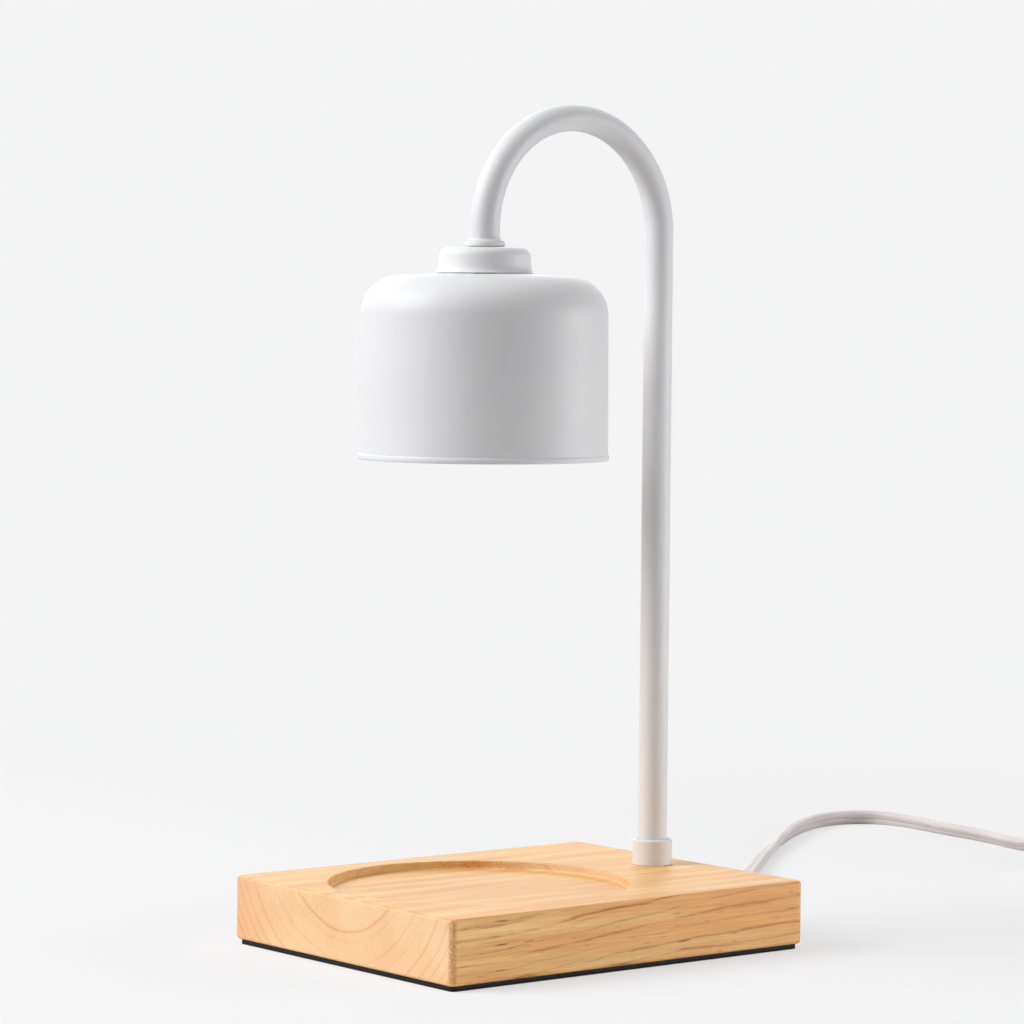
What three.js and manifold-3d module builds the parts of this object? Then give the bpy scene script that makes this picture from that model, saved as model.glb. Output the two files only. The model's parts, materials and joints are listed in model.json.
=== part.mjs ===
// Candle warmer lamp: a wooden base with a shallow dish for a candle jar, a bent steel tube that
// rises from the base and arches over, and a round shade with a twist-lock reflector bulb that
// warms the candle from above. A flat twin cord leaves the base, runs to an inline dimmer, and
// ends in a tied coil and a two-blade plug.
// Millimetres, +Z up. The origin is the middle of the base's footprint, on the table. +X runs
// along the base from the candle towards the post.

import * as THREE from "three";
import { mergeVertices } from "three/addons/utils/BufferGeometryUtils.js";
import Module from "manifold-3d";

const wasm = await Module();
wasm.setup();

// Fits shared by all pieces
const fit = 0.3; // round a piece that passes through another
const skin = 0.1; // between flat faces that rest on each other
const overrun = 1; // how far a cutting tool runs past the face that it opens
const weldTolerance = 0.0001;

// Facets
const wideSides = 44;
const roundSides = 28;
const middleSides = 24;
const smallSides = 12;
const hexSides = 6;
const cornerSteps = 4;

// Base block. Its length follows from the dish, the arch and the margins at both ends.
const baseWidth = 146;
const dishSideMargin = 11.4; // wood between the dish and each long side
const dishEndMargin = 8.8; // wood between the dish and the end face on the candle's side
const postInset = 19.4; // from the other end face to the axis of the post
const baseThickness = 26;
const baseCorner = 3;
const baseEdge = 1.4;

// Dish for the candle jar
const dishDepth = 3.5;
const dishCove = 1.2;
const dishLip = 0.4;

// Layers under the base
const padThickness = 1;
const boardThickness = 1;
const padInset = 1.6;
const padCorner = 2.4;

// Steel tube: post, arch and short leg
const tubeDiameter = 12;
const tubeWall = 1;
const bendRadius = 46.1;
const bendFlatteningShare = 0.09;
const postRise = 264.9; // from the top of the base to where the arch springs
const shortLeg = 7.2;
const archSteps = 20;

// Collar at the foot of the post
const collarWall = 2; // outside the fit round the tube
const collarHeight = 10.7;
const collarChamfer = 0.8;

// Ring at the end of the short leg
const ringWall = 1.8;
const ringHeight = 2.3;
const ringEdge = 0.8;
const ringFillet = 1.3;

// Cap on the shade
const capHeight = 10.4;
const capTopDiameter = 37;
const capDraft = 0.6;
const capLipProud = 0.6;
const capLipHeight = 1.4;
const capCorner = 3.6;
const sheetWall = 1;

// Shade
const shadeDiameter = 101;
const shadeHeight = 74.8;
const shadeCorner = 16;
const shadeDraft = 0.4; // how much the side widens from the corner to the rim
const shadeCrown = 0.6; // rise of the top from the corner to the cap
const beadHeight = 2.4;
const beadProud = 0.4;
const beadShoulderShares = [0.7, 0.3];

// Hollow nipple with its lock washer and nut
const nippleWall = 1.4;
const nippleTail = 1.2;
const nippleStep = 0.5; // how far the nipple stops short of the bend
const lockWasherRing = 3.5; // from the fit round the nipple to the tips of the teeth
const lockWasherThickness = 0.8;
const lockWasherTeeth = 10;
const lockWasherTooth = 1.2;
const lockNutWall = 2;
const lockNutHeight = 3;

// Bracket and lamp holder
const bracketWidth = 12;
const bracketSpan = 34;
const bracketDrop = 13.3;
const bracketThickness = 1.2;
const bracketMouth = 16;
const holderRim = 0.8; // ceramic outside the heads of the two screws
const holderHeight = 12;
const holderBoss = 3;
const holderBossStep = 1.5;
const holderLip = 2.2;
const holderChannel = 7.2;
const holderScrewSpacing = 23;
const holderWireSpacing = 10;
const holderWireDepth = 2;

// Bulb
const pinSpacing = 10;
const pinDiameter = 3;
const pinHeadDiameter = 4.8;
const pinLength = 6.6;
const pinHeadHeight = 2.4;
const pinChamfer = 0.4;
const pinRoot = 3;
const twistAngle = THREE.MathUtils.degToRad(25);
const bulbLength = 46;
const bulbDiameter = 50;
const bulbNeckDiameter = 26;
const bulbTopDiameter = 22.4;
const bulbBaseHeight = 18;
const bulbCollar = 2.2;
const reflectorOverlap = 3;
const reflectorWall = 1.2;
const reflectorRim = 3.4;
const frontGlassThickness = 1.6;
const capsuleDiameter = 9;
const capsuleLength = 17;

// Fastening of the post under the base
const postWasherRing = 5.7; // from the fit round the tube to the washer's edge
const postWasherThickness = 1.2;
const postNutWall = 2.2;
const postNutHeight = 4.5;
const postTail = 0.8;

// Pocket under the base
const pocketLength = 56;
const pocketDepth = 15;
const pocketCorner = 4;
const pocketRoom = 0.4; // round the post's washer and beside the cord clamp

// Wood screws
const boardScrewInset = 14;
const boardScrewLength = 12;
const boardHeadDiameter = 5.4;
const screwDiameter = 2.9;
const headDiameter = 5.4;
const headHeight = 1.8;

// Flat twin cord, and the two single wires inside the lamp
const cordWidth = 7;
const cordThickness = 3.6;
const grooveDepth = 0.5;
const wireDiameter = 2;
const wireSpread = 3.4;
const wireStepsPerPoint = 2;
const wireArchPoints = 8;
const plainShoulderShare = 0.7; // of a core's radius, on a cord drawn without its groove
const wireTurnHeight = 8.6; // where the wires have turned upright under the post
const wireLeadIn = 20; // straight wire at each end of the long stretch in the post

// Bushing where the cord leaves the base
const bushingFlange = 14;
const bushingFlangeThickness = 1.6;
const bushingNeck = 10;
const bushingBarb = 11.4;
const bushingTaper = 22;
const bushingTip = 9.4;
const bushingGrooves = 5;
const bushingGroovePitch = 3.4;
const bushingGrooveWidth = 1.2;
const bushingGrooveDepth = 0.6;
const bushingLeadIn = 3.2;
const cordExitHeight = 8.8; // above the underside of the wood
const tailSteps = 3;

// Clamp and crimp connectors in the pocket
const clampLength = 8;
const clampWidth = 19;
const clampWeb = 2.2;
const clampFromWall = 14;
const clampGap = 2.5; // to the post's washer
const clampScrewSpacing = 12;
const clampScrewGrip = 5;
const crimpDiameter = 6.4;
const crimpLength = 14;
const crimpCrownShares = [0.8, 0.6]; // of the radius: across, and along from the shoulder

// Inline dimmer
const dimmerLength = 66;
const dimmerWidth = 24;
const dimmerEndWidth = 12;
const dimmerHeight = 17;
const dimmerSidePoints = 11;
const dimmerBulgePower = 2.6;
const dimmerEdge = 2;
const dimmerWall = 1.8;
const dimmerEntry = 5;
const wheelDiameter = 28.4;
const wheelThickness = 4.4;
const wheelNotches = 24;
const wheelNotchDepth = 0.7;
const wheelGap = 0.4;
const wheelSideGap = 0.8;
const shaftDiameter = 6;
const shaftFlat = 1.2;
const shaftLength = 8.4;
const dimmerBoardLength = 30;
const dimmerBoardWidth = 13;
const dimmerBoardThickness = 1;
const potLength = 13;
const potWidth = 11;
const potHeight = 2;
const componentLength = 7;
const componentHeight = 3;
const dimmerScrewX = 19;
const dimmerScrewY = 6.6;
const dimmerBossDiameter = 5.4;
const dimmerScrewDiameter = 2.4;
const dimmerScrewLength = 12;
const dimmerHeadDiameter = 4.2;
const dimmerHeadHeight = 1.4;

// Places of the dimmer and the coil on the table
const dimmerX = 374;
const dimmerY = 11;
const coilX = 440;
const coilY = -30;

// Free stretches of the cord
const leadSteps = 50;
const linkSteps = 12;
const endSteps = 6;

// Coil and its tie
const coilRadius = 43.5;
const coilTurns = 4.25;
const coilSideGap = 1;
const coilLayerGap = 0.6;
const coilStepsPerTurn = 24;
const coilLengthSamples = 1200;
const climbTurn = Math.PI;
const tieAngle = THREE.MathUtils.degToRad(150);
const tieWidth = 4.4;
const tieThickness = 0.7;
const tieHead = 3;

// Plug
const plugLength = 27;
const plugWidth = 24;
const plugThickness = 15;
const plugNeckLength = 14;
const plugNeckWidth = 10;
const plugEdge = 2.4;
const plugShoulderShare = 0.35; // of the length of the grip
const plugNeckShare = 0.6; // of the length of the neck
const plugGrooves = 5;
const plugGroovePitch = 2.8;
const plugGrooveWidth = 1.3;
const plugGrooveLength = 14;
const plugGrooveDepth = 0.7;
const bladeSpacing = 12.7;
const bladeLength = 17;
const bladeWidth = 6.3;
const wideBladeWidth = 7.9;
const bladeThickness = 1.5;
const bladeRoot = 5;
const bladeHole = 3.2;
const bladeHoleFromTip = 3.6;

// Sizes and places that follow from the others
const dishRadius = baseWidth / 2 - dishSideMargin;
const baseLength = dishEndMargin + dishRadius + 2 * bendRadius + postInset;
const endFaceX = baseLength / 2;
const postX = endFaceX - postInset;
const lampX = postX - 2 * bendRadius; // axis of the dish, the shade and the bulb
const bendCentreX = lampX + bendRadius;
const tubeHole = tubeDiameter + 2 * fit;
const collarDiameter = tubeHole + 2 * collarWall;
const ringDiameter = tubeHole + 2 * ringWall;
const capSideDiameter = capTopDiameter + 2 * capDraft;
const capLipDiameter = capSideDiameter + 2 * capLipProud;
const nippleDiameter = tubeDiameter - 2 * tubeWall - 2 * fit;
const nippleBore = nippleDiameter - 2 * nippleWall;
const nippleHole = nippleDiameter + 2 * fit;
const lockWasherDiameter = nippleHole + 2 * lockWasherRing;
const lockNutFlats = nippleHole + 2 * lockNutWall;
const postWasherDiameter = tubeHole + 2 * postWasherRing;
const postNutFlats = tubeHole + 2 * postNutWall;
const holderDiameter = holderScrewSpacing + headDiameter + 2 * holderRim;
const holderBossDiameter = holderDiameter - 2 * holderBossStep;
const endWall = postInset - postWasherDiameter / 2 - pocketRoom;
const cordY = postWasherDiameter / 2 + clampGap + clampWidth / 2;
const pocketX = endFaceX - endWall - pocketLength / 2;
const pocketLowY = -postWasherDiameter / 2 - pocketRoom;
const pocketHighY = cordY + clampWidth / 2 + pocketRoom;
const coilPitch = cordThickness + coilSideGap;
const coilLayer = cordWidth + coilLayerGap;
const coilLift = tieThickness + fit + skin; // the coil rests on its tie

// Heights that follow from the sizes
const boardBottom = padThickness + skin;
const baseBottom = boardBottom + boardThickness + skin;
const baseTop = baseBottom + baseThickness;
const pocketTop = baseBottom + pocketDepth;
const springZ = baseTop + postRise;
const tubeEndZ = springZ - shortLeg;
const capTop = tubeEndZ - fit;
const capBottom = capTop - capHeight;
const shadeTop = capBottom - fit;
const shadeInnerTop = shadeTop - sheetWall;
const bracketTop = shadeInnerTop - fit;
const lockWasherTop = bracketTop - bracketThickness - skin;
const lockNutTop = lockWasherTop - lockWasherThickness - skin;
const nippleEndZ = lockNutTop - lockNutHeight - nippleTail;
const holderTop = bracketTop - bracketDrop - skin;
const holderBottom = holderTop - holderHeight;
const bulbTop = holderBottom - fit;
const bulbFront = bulbTop - bulbLength;
const postWasherTop = pocketTop - skin;
const postNutTop = postWasherTop - postWasherThickness - skin;
const postTubeEnd = postNutTop - postNutHeight - postTail;
const cordExitZ = baseBottom + cordExitHeight;
const cordExitX = endFaceX + skin + bushingFlangeThickness + bushingTaper;
const cordRestZ = cordWidth / 2 + skin; // the flat cord lies on its edge
const dimmerSplit = dimmerHeight / 2;
const coilLowZ = cordWidth / 2 + coilLift;
const coilHighZ = coilLowZ + coilLayer;
const plugZ = plugWidth / 2 + skin;

// Route of the free cord from inside the bushing to the dimmer, chosen by hand. It stands on
// its edge.
const leadPoints = [
  [endFaceX + fit, cordY, cordExitZ],
  [103, 24, cordExitZ],
  [cordExitX, cordY, cordExitZ],
  [124, 24.6, 10.8],
  [138, 28.5, 9],
  [154, 38.5, 6.2],
  [172, 55, 4.1],
  [190, 73, cordRestZ],
  [207, 89, cordRestZ],
  [230, 109.5, cordRestZ],
  [253, 130, cordRestZ],
  [279, 151, cordRestZ],
  [304, 170.5, cordRestZ],
  [322, 184, cordRestZ],
  [338, 194, cordRestZ],
  [350, 199.8, cordRestZ],
  [361, 203, cordRestZ],
  [372, 203.4, cordRestZ],
  [381, 200.4, cordRestZ],
  [387.5, 194, cordRestZ],
  [390.5, 185, cordRestZ],
  [390.8, 175, cordRestZ],
  [389.5, 162, cordRestZ],
  [387, 144, cordRestZ],
  [385.5, 125, cordRestZ],
  [382.5, 107, cordRestZ],
  [378.5, 90, cordRestZ],
  [376, 76, 4.2],
  [374.4, 62, 6.2],
  [dimmerX, 50, 8.3],
  [dimmerX, dimmerY + dimmerLength / 2 - dimmerEntry + fit, dimmerSplit],
];

// Route from the dimmer to the coil
const linkPoints = [
  [dimmerX, dimmerY - dimmerLength / 2 + dimmerEntry - fit, dimmerSplit],
  [dimmerX, -28, 8],
  [375, -41, 5.6],
  [381, -55, 4.8],
  [391, -66, coilLowZ],
  [405, -72, coilLowZ],
  [419, -73.5, coilLowZ],
  [coilX - cordWidth - fit, coilY - coilRadius, coilLowZ],
];

// Route from the coil to the plug, on top of the coil's lower layer and past it
const endPoints = [
  [coilX + coilRadius, coilY + cordWidth + fit, coilHighZ],
  [484.1, -15, coilHighZ],
  [486, -6, coilHighZ],
  [487, 1, plugZ],
  [487, 8, plugZ],
];

// Route of the cord inside the base, from the crimp connectors to the end face
const crimpMouthX = pocketX - pocketLength / 2 + crimpLength + fit;
const tailPoints = [
  [crimpMouthX + fit, cordY, cordExitZ],
  [pocketX, cordY, cordExitZ],
  [endFaceX, cordY, cordExitZ],
];

// Routes of the two single wires from their crimp connectors to the foot of the post, chosen
// by hand. Their X is measured from the post's axis.
const wireStartY = cordY - cordThickness / 2 - wireDiameter / 2 - fit;
const crimpOffset = (crimpDiameter + fit) / 2;
const crimpMiddleZ = (pocketTop + baseBottom) / 2;
const wireFootPoints = [
  [
    [-21.6, 20.4, 5.9],
    [-12.6, 15, 5],
    [-5.1, 6.5, 4.4],
    [-1.6, 2.9, 5.6],
  ],
  [
    [-22.6, 19.4, 12.4],
    [-17.6, 12, 9],
    [-11.6, 3.2, 5.4],
    [-5, -1, 4.6],
  ],
];

// Colours
const looks = {
  wood: { color: 0xe3b279, roughness: 0.45, metalness: 0 },
  board: { color: 0x1d1d1e, roughness: 0.9, metalness: 0 },
  foam: { color: 0x161617, roughness: 0.95, metalness: 0 },
  whitePaint: { color: 0xf1f1f2, roughness: 0.5, metalness: 0 },
  steel: { color: 0xb9bbbe, roughness: 0.35, metalness: 1 },
  brass: { color: 0xc9a45a, roughness: 0.3, metalness: 1 },
  ceramic: { color: 0xf0ede6, roughness: 0.6, metalness: 0 },
  glass: { color: 0xe6eef2, roughness: 0.08, metalness: 0 },
  mirrorGlass: { color: 0xd4d6da, roughness: 0.12, metalness: 0.8 },
  whitePlastic: { color: 0xece9e8, roughness: 0.45, metalness: 0 },
  greenBoard: { color: 0x2f6b45, roughness: 0.6, metalness: 0 },
  cord: { color: 0xe6e1e0, roughness: 0.5, metalness: 0 },
};

// Geometry helpers

function weld(geometry) {
  const bare = geometry.clone();
  bare.deleteAttribute("normal");
  bare.deleteAttribute("uv");
  const merged = mergeVertices(bare, weldTolerance);
  const corners = merged.index.array;
  const kept = [];
  for (let i = 0; i < corners.length; i += 3) {
    const [a, b, c] = [corners[i], corners[i + 1], corners[i + 2]];
    if (a !== b && b !== c && c !== a) kept.push(a, b, c);
  }
  merged.setIndex(kept);
  return merged;
}

function signedVolume(geometry) {
  const position = geometry.attributes.position;
  const [a, b, c] = [new THREE.Vector3(), new THREE.Vector3(), new THREE.Vector3()];
  const corners = geometry.index.array;
  let sum = 0;
  for (let i = 0; i < corners.length; i += 3) {
    a.fromBufferAttribute(position, corners[i]);
    b.fromBufferAttribute(position, corners[i + 1]);
    c.fromBufferAttribute(position, corners[i + 2]);
    sum += a.dot(b.cross(c));
  }
  return sum;
}

// A closed mesh with merged corners and its faces pointing out
function closed(geometry) {
  const merged = weld(geometry);
  if (signedVolume(merged) < 0) {
    const corners = merged.index.array;
    for (let i = 0; i < corners.length; i += 3) {
      [corners[i + 1], corners[i + 2]] = [corners[i + 2], corners[i + 1]];
    }
  }
  return merged;
}

function toSolid(geometry) {
  const merged = closed(geometry);
  return new wasm.Manifold(
    new wasm.Mesh({
      numProp: 3,
      vertProperties: new Float32Array(merged.attributes.position.array),
      triVerts: new Uint32Array(merged.index.array),
    }),
  );
}

function fromSolid(solid) {
  const mesh = solid.getMesh();
  const geometry = new THREE.BufferGeometry();
  geometry.setAttribute("position", new THREE.BufferAttribute(mesh.vertProperties, 3));
  geometry.setIndex(new THREE.BufferAttribute(mesh.triVerts, 1));
  return geometry;
}

function cut(body, ...tools) {
  let solid = toSolid(body);
  for (const tool of tools) solid = solid.subtract(toSolid(tool));
  return fromSolid(solid);
}

function join(...bodies) {
  let solid = toSolid(bodies[0]);
  for (const body of bodies.slice(1)) solid = solid.add(toSolid(body));
  return fromSolid(solid);
}

// A solid of revolution about Z. The outline is a list of [radius, height].
function turned(outline, sides = roundSides) {
  const points = outline.map(([radius, height]) => new THREE.Vector2(radius, height));
  return new THREE.LatheGeometry(points, sides).rotateX(Math.PI / 2);
}

// Points on an arc, from one angle to another, in degrees
function arc(centreX, centreY, radius, from, to, steps = cornerSteps) {
  return Array.from({ length: steps + 1 }, (_, i) => {
    const angle = THREE.MathUtils.degToRad(from + ((to - from) * i) / steps);
    return [centreX + radius * Math.cos(angle), centreY + radius * Math.sin(angle)];
  });
}

function shapeOf(points) {
  return new THREE.Shape(points.map(([x, y]) => new THREE.Vector2(x, y)));
}

function roundedRectangle(length, width, corner, steps = cornerSteps) {
  const [x, y] = [length / 2 - corner, width / 2 - corner];
  return shapeOf([
    ...arc(x, y, corner, 0, 90, steps),
    ...arc(-x, y, corner, 90, 180, steps),
    ...arc(-x, -y, corner, 180, 270, steps),
    ...arc(x, -y, corner, 270, 360, steps),
  ]);
}

function ringShape(outer, inner, outerSides, innerSides = outerSides) {
  const shape = shapeOf(arc(0, 0, outer, 0, 360, outerSides).slice(1));
  shape.holes.push(shapeOf(arc(0, 0, inner, 360, 0, innerSides).slice(1)));
  return shape;
}

function prism(shape, height) {
  return new THREE.ExtrudeGeometry(shape, { depth: height, bevelEnabled: false });
}

// A prism whose top and bottom edges are rounded
function softPrism(shape, height, edge, segments = 3) {
  return new THREE.ExtrudeGeometry(shape, {
    depth: height - 2 * edge,
    bevelThickness: edge,
    bevelSize: edge,
    bevelOffset: -edge,
    bevelSegments: segments,
  }).translate(0, 0, edge);
}

function cylinder(diameter, height, sides = smallSides) {
  return prism(shapeOf(arc(0, 0, diameter / 2, 0, 360, sides).slice(1)), height);
}

function block(length, width, height) {
  return new THREE.BoxGeometry(length, width, height).translate(0, 0, height / 2);
}

function hexNut(flats, bore, height) {
  const shape = shapeOf(arc(0, 0, flats / Math.sqrt(3), 0, 360, hexSides).slice(1));
  shape.holes.push(shapeOf(arc(0, 0, bore / 2, 360, 0, smallSides).slice(1)));
  return prism(shape, height);
}

const group = new THREE.Group();

function add(name, geometry, look, x = 0, y = 0, z = 0) {
  const finished = closed(geometry).toNonIndexed();
  finished.computeVertexNormals();
  const mesh = new THREE.Mesh(finished, new THREE.MeshStandardMaterial(looks[look]));
  mesh.name = name;
  mesh.position.set(x, y, z);
  group.add(mesh);
  return mesh;
}

// Routes

// A smooth route whose section keeps its long side upright
class UprightRoute extends THREE.CatmullRomCurve3 {
  constructor(points) {
    super(points.map((point) => new THREE.Vector3(...point)));
  }
  computeFrenetFrames(segments) {
    return uprightFrames(this, segments);
  }
}

function uprightFrames(route, segments) {
  const up = new THREE.Vector3(0, 0, 1);
  const frames = { tangents: [], normals: [], binormals: [] };
  for (let i = 0; i <= segments; i += 1) {
    const tangent = route.getTangentAt(i / segments);
    const side = up.clone().cross(tangent).normalize();
    frames.tangents.push(tangent);
    frames.normals.push(tangent.clone().cross(side));
    frames.binormals.push(side);
  }
  return frames;
}

function archPoint(angle, y) {
  return [
    bendCentreX + bendRadius * Math.cos(angle),
    y,
    springZ + bendRadius * Math.sin(angle),
  ];
}

// Up the post, over the arch and down the short leg. Each straight stretch is one step.
class HairpinRoute extends THREE.Curve {
  constructor(startZ, endZ) {
    super();
    this.startZ = startZ;
    this.endZ = endZ;
  }
  getUtoTmapping(u) {
    return u;
  }
  getPoint(t) {
    const step = t * (archSteps + 2);
    if (step < 1) return new THREE.Vector3(postX, 0, THREE.MathUtils.lerp(this.startZ, springZ, step));
    if (step > archSteps + 1) {
      return new THREE.Vector3(lampX, 0, THREE.MathUtils.lerp(springZ, this.endZ, step - archSteps - 1));
    }
    return new THREE.Vector3(...archPoint((Math.PI * (step - 1)) / archSteps, 0));
  }
}

// A smooth route that takes as many steps between two points wherever they lie
class PointwiseRoute extends THREE.CatmullRomCurve3 {
  getUtoTmapping(u) {
    return u;
  }
}

// The coil seen from above turns to the left. It winds inwards on the table, climbs one layer
// while it reverses, and winds outwards again on top. Both ends run on straight.
const coilSweep = coilTurns * 2 * Math.PI;
const coilStart = -Math.PI / 2;

function coilPlace(swept) {
  const inwards = Math.min(swept, coilSweep - swept);
  const climbFrom = (coilSweep - climbTurn) / 2;
  const climbed = THREE.MathUtils.clamp((swept - climbFrom) / climbTurn, 0, 1);
  return {
    angle: coilStart + swept,
    radius: coilRadius - (coilPitch * inwards) / (2 * Math.PI),
    height: coilLowZ + (coilLayer * (1 - Math.cos(Math.PI * climbed))) / 2,
  };
}

class CoilRoute extends THREE.Curve {
  constructor() {
    super();
    this.arcLengthDivisions = coilLengthSamples;
  }
  getPoint(t) {
    const lead = cordWidth / coilRadius;
    const swept = t * (coilSweep + 2 * lead) - lead;
    const { angle, radius, height } = coilPlace(THREE.MathUtils.clamp(swept, 0, coilSweep));
    const past = (swept < 0 ? swept : Math.max(swept - coilSweep, 0)) * coilRadius;
    return new THREE.Vector3(
      radius * Math.cos(angle) - past * Math.sin(angle),
      radius * Math.sin(angle) + past * Math.cos(angle),
      height,
    );
  }
  computeFrenetFrames(segments) {
    return uprightFrames(this, segments);
  }
}

// Turns that pass each other at the same angle, each with its two round cores
function coilLeastGap() {
  let least = Infinity;
  const samples = coilTurns * coilStepsPerTurn * 4;
  for (let i = 0; i <= samples; i += 1) {
    const swept = (coilSweep * i) / samples;
    const here = coilPlace(swept);
    for (let next = swept + 2 * Math.PI; next <= coilSweep; next += 2 * Math.PI) {
      const there = coilPlace(next);
      const between = Math.abs(here.height - there.height) - (cordWidth - cordThickness);
      const reach = Math.hypot(here.radius - there.radius, Math.max(0, between));
      least = Math.min(least, reach - cordThickness);
    }
  }
  return least;
}

// Section of the flat twin cord: two round cores with a groove between them. Its long side
// lies along the shape's X.
function cordSection() {
  const core = cordThickness / 2;
  const centre = cordWidth / 2 - core;
  return shapeOf([
    ...arc(centre, 0, core, -90, 90, 4),
    [0, core - grooveDepth],
    ...arc(-centre, 0, core, 90, 270, 4),
    [0, grooveDepth - core],
  ]);
}

function plainCordSection() {
  const core = cordThickness / 2;
  const shoulder = cordWidth / 2 - core * plainShoulderShare;
  return shapeOf([
    [cordWidth / 2, 0],
    [shoulder, core],
    [-shoulder, core],
    [-cordWidth / 2, 0],
    [-shoulder, -core],
    [shoulder, -core],
  ]);
}

function swept(section, route, steps) {
  return new THREE.ExtrudeGeometry(section, { steps, extrudePath: route });
}

// Base

function baseBlock() {
  const outline = roundedRectangle(baseLength, baseWidth, baseCorner);
  const slab = softPrism(outline, baseThickness, baseEdge).translate(0, 0, baseBottom);
  const tubeHoleLength = baseTop - pocketTop + 2 * overrun;
  return cut(
    slab,
    dishTool(),
    cylinder(tubeHole, tubeHoleLength, middleSides).translate(postX, 0, pocketTop - overrun),
    pocketTool(),
    bushingHole(),
    ...boardScrewPlaces().map(([x, y]) =>
      cylinder(screwDiameter + 2 * fit, boardScrewLength + overrun).translate(x, y, baseBottom - overrun),
    ),
    ...clampScrewPlaces().map(([x, y]) =>
      cylinder(screwDiameter + 2 * fit, clampScrewGrip + fit + overrun).translate(x, y, pocketTop - overrun),
    ),
  );
}

function dishTool() {
  const radius = dishRadius;
  const floor = baseTop - dishDepth;
  return turned(
    [
      [0, floor],
      ...arc(radius - dishCove, floor + dishCove, dishCove, -90, 0, 3),
      [radius, baseTop - dishLip],
      [radius + dishLip, baseTop],
      [radius + dishLip, baseTop + overrun],
      [0, baseTop + overrun],
    ],
    wideSides,
  ).translate(lampX, 0, 0);
}

function pocketTool() {
  const outline = roundedRectangle(pocketLength, pocketHighY - pocketLowY, pocketCorner, 3);
  const middleY = (pocketLowY + pocketHighY) / 2;
  return prism(outline, pocketDepth + overrun).translate(pocketX, middleY, baseBottom - overrun);
}

function bushingHole() {
  return cylinder(bushingNeck + 2 * fit, endWall + 2 * overrun, middleSides)
    .rotateY(Math.PI / 2)
    .translate(endFaceX - endWall - overrun, cordY, cordExitZ);
}

function boardScrewPlaces() {
  const x = baseLength / 2 - boardScrewInset;
  const y = baseWidth / 2 - boardScrewInset;
  return [
    [x, y],
    [-x, y],
    [-x, -y],
    [x, -y],
  ];
}

function clampX() {
  return endFaceX - endWall - clampFromWall - clampLength / 2;
}

function clampScrewPlaces() {
  return [-1, 1].map((side) => [clampX(), cordY + (side * clampScrewSpacing) / 2]);
}

function layerShape() {
  return roundedRectangle(baseLength - 2 * padInset, baseWidth - 2 * padInset, padCorner);
}

function bottomBoard() {
  const countersink = () =>
    turned([
      [0, -overrun],
      [boardHeadDiameter / 2 + fit, -overrun],
      [boardHeadDiameter / 2 + fit, skin],
      [screwDiameter / 2 + fit, boardThickness],
      [screwDiameter / 2 + fit, boardThickness + overrun],
      [0, boardThickness + overrun],
    ], smallSides);
  return cut(
    prism(layerShape(), boardThickness),
    ...boardScrewPlaces().map(([x, y]) => countersink().translate(x, y, 0)),
  );
}

function boardScrew() {
  return turned([
    [0, skin],
    [boardHeadDiameter / 2, skin],
    [screwDiameter / 2, boardThickness],
    [screwDiameter / 2, boardScrewLength - screwDiameter],
    [0, boardScrewLength],
  ], smallSides);
}

function addBase() {
  add("base_pad", prism(layerShape(), padThickness), "foam");
  add("bottom_board", bottomBoard(), "board", 0, 0, boardBottom);
  add("base_block", baseBlock(), "wood");
  boardScrewPlaces().forEach(([x, y], i) => {
    add(`board_screw_${i + 1}`, boardScrew(), "steel", x, y, boardBottom);
  });
}

// Tube and what holds it

function flattenInBend(geometry) {
  const position = geometry.attributes.position;
  for (let i = 0; i < position.count; i += 1) {
    const x = position.getX(i) - bendCentreX;
    const z = position.getZ(i) - springZ;
    if (z <= 0) continue;
    const reach = Math.hypot(x, z);
    const squeezed = (reach - bendRadius) * (1 - (bendFlatteningShare * z) / reach);
    const grown = (bendRadius + squeezed) / reach;
    position.setXYZ(i, bendCentreX + x * grown, position.getY(i), springZ + z * grown);
  }
  return geometry;
}

function archTube() {
  const section = ringShape(tubeDiameter / 2, tubeDiameter / 2 - tubeWall, middleSides, smallSides);
  return flattenInBend(swept(section, new HairpinRoute(postTubeEnd, tubeEndZ), archSteps + 2));
}

function postCollar() {
  const [inner, outer] = [tubeHole / 2, collarDiameter / 2];
  return turned([
    [inner, 0],
    [outer, 0],
    [outer, collarHeight - collarChamfer],
    [outer - collarChamfer, collarHeight],
    [inner, collarHeight],
    [inner, 0],
  ], roundSides);
}

function armEndRing() {
  const [inner, outer] = [tubeHole / 2, ringDiameter / 2];
  return turned([
    [inner, 0],
    ...arc(outer - ringEdge, ringEdge, ringEdge, -90, 0, 2),
    ...arc(outer - ringEdge, ringHeight - ringEdge, ringEdge, 0, 90, 2),
    ...arc(inner + ringFillet + skin, ringHeight + ringFillet, ringFillet, -90, -180, 2),
    [inner, ringHeight + ringFillet],
    [inner, 0],
  ], middleSides);
}

function addPost() {
  add("arch_tube", archTube(), "whitePaint");
  add("post_collar", postCollar(), "whitePaint", postX, 0, baseTop + skin);
  add("arm_end_ring", armEndRing(), "whitePaint", lampX, 0, tubeEndZ);
  const washer = prism(ringShape(postWasherDiameter / 2, tubeHole / 2, middleSides), postWasherThickness);
  add("post_washer", washer, "steel", postX, 0, postWasherTop - postWasherThickness);
  const nut = hexNut(postNutFlats, tubeHole, postNutHeight);
  add("post_nut", nut, "steel", postX, 0, postNutTop - postNutHeight);
}

// Shade with its cap, nipple and fastening

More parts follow.
